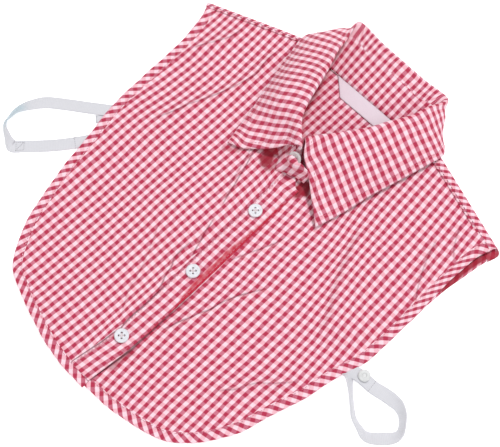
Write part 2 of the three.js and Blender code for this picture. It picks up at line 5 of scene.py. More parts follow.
import bpy
import numpy as np
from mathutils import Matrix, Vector


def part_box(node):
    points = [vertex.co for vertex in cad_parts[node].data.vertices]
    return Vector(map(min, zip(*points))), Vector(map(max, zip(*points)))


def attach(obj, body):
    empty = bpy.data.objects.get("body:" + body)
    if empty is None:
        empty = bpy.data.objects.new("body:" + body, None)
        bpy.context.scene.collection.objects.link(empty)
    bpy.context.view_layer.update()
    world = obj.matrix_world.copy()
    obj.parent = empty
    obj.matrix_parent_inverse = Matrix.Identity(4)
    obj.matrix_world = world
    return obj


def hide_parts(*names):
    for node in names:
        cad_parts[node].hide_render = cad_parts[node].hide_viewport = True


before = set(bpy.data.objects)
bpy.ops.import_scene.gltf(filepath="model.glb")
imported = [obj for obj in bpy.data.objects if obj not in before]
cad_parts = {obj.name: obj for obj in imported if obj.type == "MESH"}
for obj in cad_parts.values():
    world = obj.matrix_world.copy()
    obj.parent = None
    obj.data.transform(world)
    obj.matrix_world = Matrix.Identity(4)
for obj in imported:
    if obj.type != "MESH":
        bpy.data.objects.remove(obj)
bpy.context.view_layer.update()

# The table, light and camera
# A sheet of matt white paper under the bib, lit by a small lamp beyond the collar, by two weak soft ones and
# by a pale room. The camera stands over the wearer's left hip, about twenty degrees off straight down.

scene = bpy.context.scene
scene.view_settings.view_transform = "Standard"

# Places on the bib are in millimetres, and the middle of the top button is at TOP_BUTTON
TOP_BUTTON = (4.5, 9.0)
low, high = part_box("button_top")
ORIGIN = np.array([(low.x + high.x) * 500 - TOP_BUTTON[0], (low.y + high.y) * 500 - TOP_BUTTON[1], 0.0])
TABLE_REACH = 3
TABLE_BELOW = 0.0002
CAMERA_AT = (198.0, -192.0, 731.6)
CAMERA_LOOKS_AT = (7.3, 0.0, 0.0)


def placed(points):
    """Places on the bib, in metres of the frame."""
    return (np.asarray(points, float) + ORIGIN) / 1000


def new_material(name, values):
    """A material, its node tree and its shader, with the shader's constant values set."""
    material = bpy.data.materials.new(name)
    material.use_nodes = True
    shader = material.node_tree.nodes["Principled BSDF"]
    for socket, value in values.items():
        shader.inputs[socket].default_value = value
    return material, material.node_tree, shader


def add_softbox(name, at, width, watts):
    """A round lamp that faces the middle of the frame."""
    light = bpy.data.lights.new(name, "AREA")
    light.shape = "DISK"
    light.size = width
    light.energy = watts
    lamp = bpy.data.objects.new(name, light)
    lamp.location = at
    lamp.rotation_euler = (lamp.location * -1).to_track_quat("-Z", "Y").to_euler()
    scene.collection.objects.link(lamp)


paper = new_material("white_paper", {
    "Base Color": (0.92, 0.92, 0.92, 1), "Roughness": 0.9, "Specular IOR Level": 0.2,
    "Emission Color": (1, 1, 1, 1), "Emission Strength": 0.5})[0]
table_mesh = bpy.data.meshes.new("table_top")
table_corners = [
    (TABLE_REACH * x, TABLE_REACH * y, -TABLE_BELOW) for x, y in ((-1, -1), (1, -1), (1, 1), (-1, 1))]
table_mesh.from_pydata(table_corners, [], [(0, 1, 2, 3)])
table_mesh.materials.append(paper)
table = bpy.data.objects.new("table_top", table_mesh)
scene.collection.objects.link(table)

add_softbox("collar_lamp", at=(0.0, 1.25, 2.75), width=0.38, watts=51)
add_softbox("side_lamp", at=(1.5, 0.3, 2.2), width=0.9, watts=7)
add_softbox("front_lamp", at=(0.0, -1.6, 0.8), width=1.0, watts=8)

world = bpy.data.worlds.new("soft_room")
world.use_nodes = True
room = world.node_tree.nodes["Background"].inputs
room["Color"].default_value = (1.0, 0.997, 0.995, 1)
room["Strength"].default_value = 0.48
scene.world = world

lens = bpy.data.cameras.new("camera")
lens.sensor_width = 36
lens.lens = 70.2
lens.clip_end = 20
camera = bpy.data.objects.new("camera", lens)
camera.location = placed(CAMERA_AT)
looking = Vector(placed(CAMERA_LOOKS_AT)) - camera.location
camera.rotation_euler = looking.to_track_quat("-Z", "Y").to_euler()
scene.collection.objects.link(camera)
scene.camera = camera


# The back
# One layer of gingham shirting, cut with the warp down the middle. At each shoulder its cloth turns over to
# the front and is sewn down on the front panel, so the shoulder line shows the back's own checks.

WARP_REPEAT = 6.4
WEFT_REPEAT = 7.2
THREAD = 0.4
CLOTH = 1.0
BINDING_WIDTH = 8
SHOULDER_LAP = 11

# Left and right are as seen from above with the collar at the top, so the wearer's right side is "left". The
# tables of the collar and the straps go by the wearer's own sides instead.
OUTWARDS = {"left": -1, "right": 1}

BODY_ROWS = [
    # y, left edge, right edge
    (121, -162, 160.5), (104, -156, 155), (82, -152, 153), (55, -150, 152), (28, -149.5, 152),
    (4, -148.5, 151.2), (-18, -145.5, 149.3), (-45, -140, 141.2), (-72, -135, 135),
    (-98, -128.6, 126.5), (-122, -121, 119), (-141, -111.5, 108.5),
]
HEM_ROWS = [
    # distance from the middle, left y, right y
    (99, -157.5, -153.5), (82, -165.5, -167), (60, -173, -174.5), (36, -179, -179),
    (12, -182.5, -180.5),
]
HEM_MIDDLE = {"left": -182.8, "right": -181.0, "back": -181.4}
BACK_SHOWS = [
    # y, how far the back's edge lies outside the front's on the left and on the right
    (121, -0.5, 4.5), (108, -0.5, 6.5), (90, -0.5, 5.0), (70, -0.5, 2.5), (50, -0.5, 0.8),
    (20, -0.5, -0.4), (-190, -0.5, -0.5),
]
SHOULDERS = {
    # the shoulder line, how far the cloth turns over to the front, how far its open end spreads
    "left": {"line": [(-162, 119.2), (-76, 152), (-59, 156)], "turn": 4.8, "flare": 0},
    "right": {"line": [(160.5, 122.4), (80, 149.6), (62, 155)], "turn": 8, "flare": 7.5},
}
INNER_NECK = [(-48, 149), (-44, 146.6), (0, 146.6), (46, 146.6), (50, 149)]
# painted shade on the back: beside the collar's fold, and in the shoulder's open end
COLLAR_FOLD_SHADE = [
    (-7.5, 74), (-18.3, 85.6), (-26, 94.4), (-31.4, 107.4), (-36.4, 125.4), (-41, 141.9), (-44, 149)]
SHOULDER_OPEN_END = [(158, 111), (165, 117)]

WHITE = (0.91, 0.66, 0.735, 1)
PALE = (0.88, 0.44, 0.52, 1)
ROSY = (0.56, 0.115, 0.195, 1)
RED = (0.44, 0.028, 0.075, 1)
THREADS_SHOW = 0.22
# painted shade: the deep red that hollows and gaps are painted with, and its darker form
PAINTED_SHADE_RED = (0.50, 0.010, 0.036, 1)
PAINTED_SHADE_DARK_RED = (0.24, 0.006, 0.022, 1)
# a painted highlight beside each pressed crease, and the painted shade along it
PAINTED_RIDGE_HIGHLIGHT = (0.94, 0.74, 0.79, 1)
PAINTED_CREASE_SHADE = (0.09, 0.010, 0.022, 1)


def unit(vectors):
    """The same directions with a length of 1."""
    return vectors / np.linalg.norm(vectors, axis=-1, keepdims=True)


def run_along(line):
    """How far along a line each of its points lies."""
    return np.r_[0, np.cumsum(np.linalg.norm(np.diff(line, axis=0), axis=1))]


def resampled(line, count):
    """A number of evenly spaced places along a line."""
    line = np.asarray(line, float)
    run = run_along(line)
    at = np.linspace(0, run[-1], count)
    return np.stack([np.interp(at, run, line[:, k]) for k in range(line.shape[1])], axis=1)


def smooth_curve(points, per_gap=16):
    """A centripetal Catmull-Rom curve, with the same number of steps between each two points."""
    p = np.asarray(points, float)
    gaps = np.sqrt(np.linalg.norm(np.diff(p, axis=0), axis=1)) + 1e-9
    knots = np.r_[0, np.cumsum(gaps)]
    t = np.r_[-gaps[0], knots, knots[-1] + gaps[-1]]
    p = np.vstack([2 * p[0] - p[1], p, 2 * p[-1] - p[-2]])
    gap = np.repeat(np.arange(len(gaps)), per_gap)
    at = knots[gap] + gaps[gap] * np.tile(np.arange(per_gap) / per_gap, len(gaps))
    gap = np.r_[gap, len(gaps) - 1]
    at = np.r_[at, knots[-1]][:, None]
    t0, t1, t2, t3 = (t[gap + k][:, None] for k in range(4))
    p0, p1, p2, p3 = (p[gap + k] for k in range(4))
    a = p0 * (t1 - at) / (t1 - t0) + p1 * (at - t0) / (t1 - t0)
    b = p1 * (t2 - at) / (t2 - t1) + p2 * (at - t1) / (t2 - t1)
    c = p2 * (t3 - at) / (t3 - t2) + p3 * (at - t2) / (t3 - t2)
    ab = a * (t2 - at) / (t2 - t0) + b * (at - t0) / (t2 - t0)
    bc = b * (t3 - at) / (t3 - t1) + c * (at - t1) / (t3 - t1)
    return ab * (t2 - at) / (t2 - t1) + bc * (at - t1) / (t2 - t1)


def even_curve(points, count):
    """The smooth curve through some points, as a number of evenly spaced places."""
    return resampled(smooth_curve(points), count)


def moved_left(line, distance):
    """A line moved to its own left, seen from above."""
    moved = np.array(line, float)
    ahead = unit(np.gradient(moved[:, :2], axis=0))
    moved[:, 0] -= ahead[:, 1] * distance
    moved[:, 1] += ahead[:, 0] * distance
    return moved


def body_edge(side, step=1.5, back=False):
    """The outline from the shoulder tip down one side and along the hem to the middle."""
    column = 1 if side == "left" else 2
    sign = OUTWARDS[side]
    shows = np.array(BACK_SHOWS, float)[::-1]
    grow = (lambda y: np.interp(y, shows[:, 0], shows[:, column])) if back else (lambda y: 0)
    sides = [(row[column] + sign * grow(row[0]), row[0]) for row in BODY_ROWS]
    hem = [(sign * row[0], row[column] - grow(row[column])) for row in HEM_ROWS]
    line = smooth_curve(sides + hem + [(0, HEM_MIDDLE["back" if back else side])])
    return resampled(line, int(round(run_along(line)[-1] / step)) + 1)


def patch(bottom, top, left, right):
    """A grid stretched between four edges; rows run from bottom to top, columns from left to right."""
    s = np.linspace(0, 1, len(bottom))[None, :, None]
    t = np.linspace(0, 1, len(left))[:, None, None]
    sides = (1 - s) * left[:, None] + s * right[:, None]
    ends = (1 - t) * bottom[None] + t * top[None]
    corners = (
        (1 - s) * (1 - t) * bottom[0] + s * (1 - t) * bottom[-1] + (1 - s) * t * top[0] + s * t * top[-1])
    return sides + ends - corners


def cloth_shell(grid, cloth, thick):
    """Corners, faces and cloth coordinates of a closed wall about a grid, thinner along its edges."""
    rows, columns = grid.shape[:2]
    up = np.cross(np.gradient(grid, axis=1), np.gradient(grid, axis=0))
    up /= np.linalg.norm(up, axis=2)[..., None] + 1e-12
    below = rows * columns
    number = np.arange(below).reshape(rows, columns)
    cell = (number[:-1, :-1], number[:-1, 1:], number[1:, 1:], number[1:, :-1])
    quads = np.stack(cell, axis=2).reshape(-1, 4)
    edges = np.concatenate([quads[:, [k, (k + 1) % 4]] for k in range(4)])
    codes = edges[:, 0] * 10**7 + edges[:, 1]
    rim = edges[~np.isin(codes, edges[:, 1] * 10**7 + edges[:, 0])]
    half = np.full(below, thick / 2)
    half[rim.ravel()] *= 0.5
    points = grid.reshape(-1, 3)
    offset = up.reshape(-1, 3) * half[:, None]
    sides = np.stack([rim[:, 1], rim[:, 0], rim[:, 0] + below, rim[:, 1] + below], axis=1)
    faces = np.concatenate([quads, quads[:, ::-1] + below, sides])
    corners = np.concatenate([points + offset, points - offset])
    return corners, faces, np.concatenate([cloth.reshape(-1, 2)] * 2)


def made(name, shells, material, deep=None, crease=None):
    """One mesh object from shells given in millimetres on the bib. "deep" holds how much painted shade a
    place takes, as a share of deep red, and how dark that red is; "crease" how far off the nearest pressed
    line is, how sharp its painted shade line is and any softer painted shade."""
    corners, faces, cloth, start = [], [], [], 0
    for shell_corners, shell_faces, shell_cloth in shells:
        corners.append(shell_corners)
        faces += [tuple(int(v) + start for v in face) for face in shell_faces]
        cloth.append(shell_cloth)
        start += len(shell_corners)
    points = np.concatenate(corners)
    mesh = bpy.data.meshes.new(name)
    mesh.from_pydata(placed(points).tolist(), [], faces)
    loops = np.empty(len(mesh.loops), np.int32)
    mesh.loops.foreach_get("vertex_index", loops)
    layer = mesh.uv_layers.new(name="cloth")
    layer.data.foreach_set("uv", np.concatenate(cloth)[loops].astype(np.float32).ravel())
    for label, measure in (("deep", deep), ("crease", crease)):
        layer = mesh.attributes.new(label, "FLOAT_VECTOR", "POINT")
        if measure:
            layer.data.foreach_set("vector", measure(points).astype(np.float32).ravel())
    mesh.shade_smooth()
    mesh.materials.append(material)
    piece = bpy.data.objects.new(name, mesh)
    scene.collection.objects.link(piece)
    return piece


def add_node(tree, kind, links=None, **settings):
    """A node with its properties set, and each given socket linked to a source or filled with a value."""
    item = tree.nodes.new(kind)
    for key, value in settings.items():
        setattr(item, key, value)
    for socket, source in (links or {}).items():
        if isinstance(source, bpy.types.NodeSocket):
            tree.links.new(source, item.inputs[socket])
        else:
            item.inputs[socket].default_value = source
    return item


def maths(tree, operation, *values):
    return add_node(tree, "ShaderNodeMath", dict(enumerate(values)), operation=operation).outputs[0]


def wave(tree, operation, value, scale):
    """The sine or cosine of a scaled value."""
    return maths(tree, operation, maths(tree, "MULTIPLY", value, scale))


def mixed(tree, share, first, second, blend="MIX"):
    """A share of the second colour mixed into the first."""
    sockets = {0: share, 6: first, 7: second}
    return add_node(tree, "ShaderNodeMix", sockets, data_type="RGBA", blend_type=blend).outputs[2]


def noise(tree, place, scale, detail):
    return add_node(tree, "ShaderNodeTexNoise", {"Vector": place, "Scale": scale, "Detail": detail})


def ranged(tree, value, start, end, low=0.0, high=1.0, steps="LINEAR"):
    """A value taken from between start and end to between low and high."""
    span = {"Value": value, "From Min": start, "From Max": end, "To Min": low, "To Max": high}
    return add_node(tree, "ShaderNodeMapRange", span, interpolation_type=steps).outputs[0]


def point_measure(tree, label):
    """The three values of a piece's point attribute."""
    vector = add_node(tree, "ShaderNodeAttribute", attribute_name=label).outputs["Vector"]
    return add_node(tree, "ShaderNodeSeparateXYZ", {0: vector}).outputs


def add_bump(tree, shader, height, depth, strength=0.5):
    bump = add_node(tree, "ShaderNodeBump", {"Height": height, "Distance": depth, "Strength": strength})
    tree.links.new(bump.outputs[0], shader.inputs["Normal"])


def stripes(tree, across, repeat, softness=0.3):
    """1 on the red half of each repeat and 0 on the white half, with a soft edge."""
    swing = wave(tree, "COSINE", across, 2 * math.pi / repeat)
    return ranged(tree, swing, softness, -softness, steps="SMOOTHSTEP")


def gingham(name, white, pale, rosy, red):
    """Plain-woven red and white checks, warp stronger than weft, thread by thread."""
    material, tree, shader = new_material(name, {
        "Roughness": 0.88, "Specular IOR Level": 0.25, "Sheen Weight": 0.12, "Sheen Roughness": 0.6})
    cloth = add_node(tree, "ShaderNodeUVMap", uv_map="cloth").outputs[0]

    # the checks, which wander by up to half a millimetre
    drift = noise(tree, cloth, scale=0.16, detail=1.0).outputs["Color"]
    wander = add_node(tree, "ShaderNodeVectorMath", {0: drift, 1: (-0.5, -0.5, -0.5)}).outputs[0]
    wander = add_node(tree, "ShaderNodeVectorMath", {0: wander, "Scale": 0.9}, operation="SCALE").outputs[0]
    place = add_node(tree, "ShaderNodeVectorMath", {0: cloth, 1: wander}).outputs[0]
    across, down = add_node(tree, "ShaderNodeSeparateXYZ", {0: place}).outputs[:2]
    warp = stripes(tree, across, WARP_REPEAT)
    weft = stripes(tree, down, WEFT_REPEAT, 0.4)
    check = mixed(tree, warp, mixed(tree, weft, white, pale), mixed(tree, weft, rosy, red))

    # the single threads, warp over weft and weft over warp in turn, and the uneven dye
    crossing = maths(tree, "MULTIPLY", *(wave(tree, "SINE", way, math.pi / THREAD) for way in (across, down)))
    warp_on_top = maths(tree, "GREATER_THAN", crossing, 0.0)
    warp_shows = maths(tree, "MULTIPLY", warp, warp_on_top)
    weft_shows = maths(tree, "MULTIPLY", weft, maths(tree, "SUBTRACT", 1.0, warp_on_top))
    thread = mixed(tree, maths(tree, "ADD", warp_shows, weft_shows), white, red)
    colour = mixed(tree, THREADS_SHOW, check, thread)
    dye = ranged(tree, noise(tree, cloth, scale=0.45, detail=3.0).outputs[0], 0.0, 1.0, 0.86, 1.14)
    shade = add_node(tree, "ShaderNodeCombineColor", {0: dye, 1: dye, 2: dye}).outputs[0]
    colour = mixed(tree, 1.0, colour, shade, "MULTIPLY")

    # painted shade in hollows, and along each pressed crease a painted shade line with a painted highlight
    # beside it
    deep = point_measure(tree, "deep")
    colour = mixed(tree, deep[0], colour, mixed(tree, deep[1], PAINTED_SHADE_RED, PAINTED_SHADE_DARK_RED))
    crease = point_measure(tree, "crease")

    def beside(place, reach):
        away = maths(tree, "ABSOLUTE", maths(tree, "SUBTRACT", crease[0], place))
        line = ranged(tree, away, reach, reach * 0.25, steps="SMOOTHSTEP")
        return maths(tree, "MULTIPLY", line, crease[1])

    # the painted highlight beside each crease line, then its painted shade line
    colour = mixed(tree, maths(tree, "MULTIPLY", beside(1.6, 1.2), 0.3), colour, PAINTED_RIDGE_HIGHLIGHT)
    dark = maths(tree, "MAXIMUM", beside(0.0, 1.0), crease[2])
    colour = mixed(tree, maths(tree, "MULTIPLY", dark, 0.85), colour, PAINTED_CREASE_SHADE)
    tree.links.new(colour, shader.inputs["Base Color"])

    slub = noise(tree, cloth, scale=1.2, detail=2.0).outputs[0]
    add_bump(tree, shader, maths(tree, "ADD", maths(tree, "ABSOLUTE", crossing), slub), depth=0.00007)
    return material


shirting = gingham("gingham_shirting", WHITE, PALE, ROSY, RED)


def shoulder_turn(side, stations, rows):
    """Places of the back's cloth as it turns over one shoulder, row by row, spread at its open end."""
    turn, flare = SHOULDERS[side]["turn"], SHOULDERS[side]["flare"]
    # how far in from the shoulder line, and the height there
    profile = smooth_curve([
        (12, 0.5), (4, 0.5), (1.3, 1.1), (0.5, 2.6), (1.4, 4.2), (turn * 0.55, 4.75), (turn + 0.6, 4.3)], 6)
    tip = unit(stations[0] - stations[1])
    turned = []
    for inwards, z in resampled(profile, rows):
        line = moved_left(stations, OUTWARDS[side] * inwards)
        spread = flare * (1 - min(1, z / 5)) * np.exp(-np.arange(len(line)) / 6)
        line = line + spread[:, None] * tip
        turned.append(np.c_[line, np.full(len(line), z)])
    return np.array(turned)


def back_shells():
    """The cloth between the bindings, and the two strips that turn over the shoulders."""
    tucked = BINDING_WIDTH - 1.5
    left = moved_left(body_edge("left", back=True), tucked)
    right = moved_left(body_edge("right", back=True), -tucked)
    left_corner, right_corner = (len(edge) * 62 // 100 for edge in (left, right))
    bottom = np.vstack([left[left_corner:], right[:right_corner:-1]])
    lines = {side: even_curve(SHOULDERS[side]["line"], 70) for side in OUTWARDS}
    left_top = moved_left(lines["left"], -SHOULDER_LAP)
    right_top = moved_left(lines["right"], SHOULDER_LAP)[::-1]
    top = np.vstack([left_top, INNER_NECK, right_top])
    left = np.vstack([left_top[:1], left[6:left_corner + 1]])[::-1]
    right = np.vstack([right_top[-1:], right[6:right_corner + 1]])[::-1]
    grid = patch(*(resampled(edge, 100) for edge in (bottom, top, left, right)))
    grid = np.dstack([grid, np.full(grid.shape[:2], CLOTH / 2)])
    x, y = grid[..., 0], grid[..., 1]
    # the checks drift and lean a little where they show inside the neck
    cloth = np.dstack([x + 1.8 + 0.02 * (124 - y), y - 0.95 - 0.075 * np.clip(118 - y, 0, 60)])
    shells = [cloth_shell(grid, cloth, CLOTH)]
    for side, line in lines.items():
        slant = -OUTWARDS[side]
        turned = shoulder_turn(side, line, 26)
        run, over = run_along(line)[None, :], run_along(turned[:, 20])[:, None]
        cloth = np.dstack([run + slant * 0.75 * over, over - 0.6 * run * slant])
        if side == "right":
            turned, cloth = turned[::-1], cloth[::-1]
        shells.append(cloth_shell(turned, cloth, CLOTH))
    return shells


def painted_shade_values(share, dark=0.0):
    """Values of "deep": the share of painted deep red shade at each place, and how dark that red is."""
    return np.c_[share, dark + 0 * share, 0 * share]


def near(points, line, reach):
    """1 on a line and fading away from it."""
    line = resampled(line, 60)[:, :points.shape[1]]
    away = np.min([((points - at) ** 2).sum(axis=1) for at in line], axis=0)
    return np.exp(-away / reach**2)


def back_shade(points):
    """Painted deep red shade beside the collar's fold on one side, and in the open end of the shoulder on
    the other.
    """
    folded = 0.8 * near(points[:, :2], COLLAR_FOLD_SHADE, 1.9) * (points[:, 2] < 2)
    open_end = near(points[:, :2], SHOULDER_OPEN_END, 4.8) * (points[:, 2] < 4)
    return painted_shade_values(np.maximum(folded, 0.9 * np.minimum(1, 1.6 * open_end)), 0.5)


back = made("back_cloth", back_shells(), shirting, back_shade)
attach(back, "root")
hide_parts("back_panel")


# The bindings
# Straight-edged strips of the same gingham cut on the bias, folded over the raw edge and topstitched by
# machine close to the inner fold. The checks run across them as slanted bars.

BIAS = math.radians(46)
BIAS_PALE = (0.89, 0.50, 0.58, 1)
BIAS_ROSY = (0.50, 0.07, 0.14, 1)
BINDING_PROFILE = [
    # how far in from the edge, share of the thickness
    (7.7, 0.0), (4.0, 0.0), (0.7, 0.02), (0.0, 0.35), (0.35, 0.85), (1.5, 1.02), (3.6, 1.0), (5.6, 0.98),
    (6.7, 0.74), (7.4, 0.86), (8.0, 0.5), (7.7, 0.0),
]
STITCHED_AT = (6.7, 0.74)
# painted shade on the back's binding where it shows between the two bindings
BINDING_GAP = [(161.4, 117), (159, 110.4), (157.2, 103.7), (155.6, 95.8), (154.4, 88), (154, 78), (153.6, 66)]
bias_gingham = gingham("gingham_bias", WHITE, BIAS_PALE, BIAS_ROSY, RED)
binding_seams = []


def bound_edge(edge, side, low_of, thick, slant):
    """A closed strip along an edge, with a fold outside, a flat face, a stitched dip and a thin inner edge.
    Its line of stitches joins binding_seams."""
    sign = OUTWARDS[side]
    profile = smooth_curve(BINDING_PROFILE, 3)[:-1]
    run = run_along(edge)
    reach = run_along(profile * [1, thick])
    reach -= reach[np.argmin(profile[:, 0])]
    pucker = 0.5 + 0.5 * np.sin(run * 2 * math.pi / 4.6 + 1.3 * np.sin(run / 17))
    wobble = 0.16 * np.sin(run / 9.1) + 0.12 * np.sin(run / 4.3 + 2)
    rings, cloth = [], []
    for (inwards, share), over in zip(profile, reach):
        line = moved_left(edge, -sign * inwards)
        line = moved_left(line, sign * wobble * (1 if inwards < 1 else 0.4))
        soft = share * (1 - 0.2 * pucker * math.exp(-((inwards - 6.8) / 1.1) ** 2))
        rings.append(np.c_[line, low_of(line[:, 0], line[:, 1]) + thick * soft])
        u = run * math.cos(BIAS) + slant * over * math.sin(BIAS)
        v = run * math.sin(BIAS) - slant * over * math.cos(BIAS)
        cloth.append(np.c_[u, v])
    rings, cloth = np.array(rings), np.array(cloth)
    sewn = int(np.argmin(np.abs(profile[:, 0] - STITCHED_AT[0]) + 3 * np.abs(profile[:, 1] - STITCHED_AT[1])))
    binding_seams.append(rings[sewn] + [0, 0, 0.12])
    count, length = rings.shape[:2]
    number = np.arange(count * length).reshape(count, length)
    after = np.roll(number, -1, axis=0)
    quads = np.stack([number[:, :-1], after[:, :-1], after[:, 1:], number[:, 1:]], axis=2).reshape(-1, 4)
    faces = [tuple(quad) for quad in (quads if sign > 0 else quads[:, ::-1])]
    for end, order in ((0, sign), (-1, -sign)):
        ring = number[:, end][::order]
        for k in range((count - 1) // 2):
            faces.append(tuple(dict.fromkeys((ring[-(k + 1)], ring[-(k + 2)], ring[k + 1], ring[k]))))
    return rings.reshape(-1, 3), faces, cloth.reshape(-1, 2)


def clipped_edge(edge, side, inwards):
    """The part of an edge that lies below the shoulder line moved inwards."""
    sign = OUTWARDS[side]
    line = np.array(SHOULDERS[side]["line"], float)
    line = moved_left(np.vstack([line[0] * 1.2 - line[1] * 0.2, line]), sign * inwards)
    below = edge[:, 1] < np.interp(-sign * edge[:, 0], -sign * line[:, 0], line[:, 1]) - 0.1
    return edge[below]


def binding_gap(points):
    """Painted deep red shade where the back shows between the two bindings, close to the wearer's left
    shoulder.
    """
    return painted_shade_values(0.95 * np.minimum(1, 2.0 * near(points[:, :2], BINDING_GAP, 2.1)), 0.7)


back_strips = []
for side in OUTWARDS:
    strip = clipped_edge(body_edge(side, back=True), side, SHOULDER_LAP)
    back_strips.append(bound_edge(strip, side, lambda x, y: 0 * x, thick=1.6, slant=1))
back_binding = made("back_binding_strip", back_strips, bias_gingham, binding_gap)
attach(back_binding, "root")
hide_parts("back_binding")


# The fronts
# Two panels of the same shirting with the warp running down. They were pressed and packed folded, so thin
# creases and a few soft rolls cross them, and the grain wanders by some millimetres between the creases.

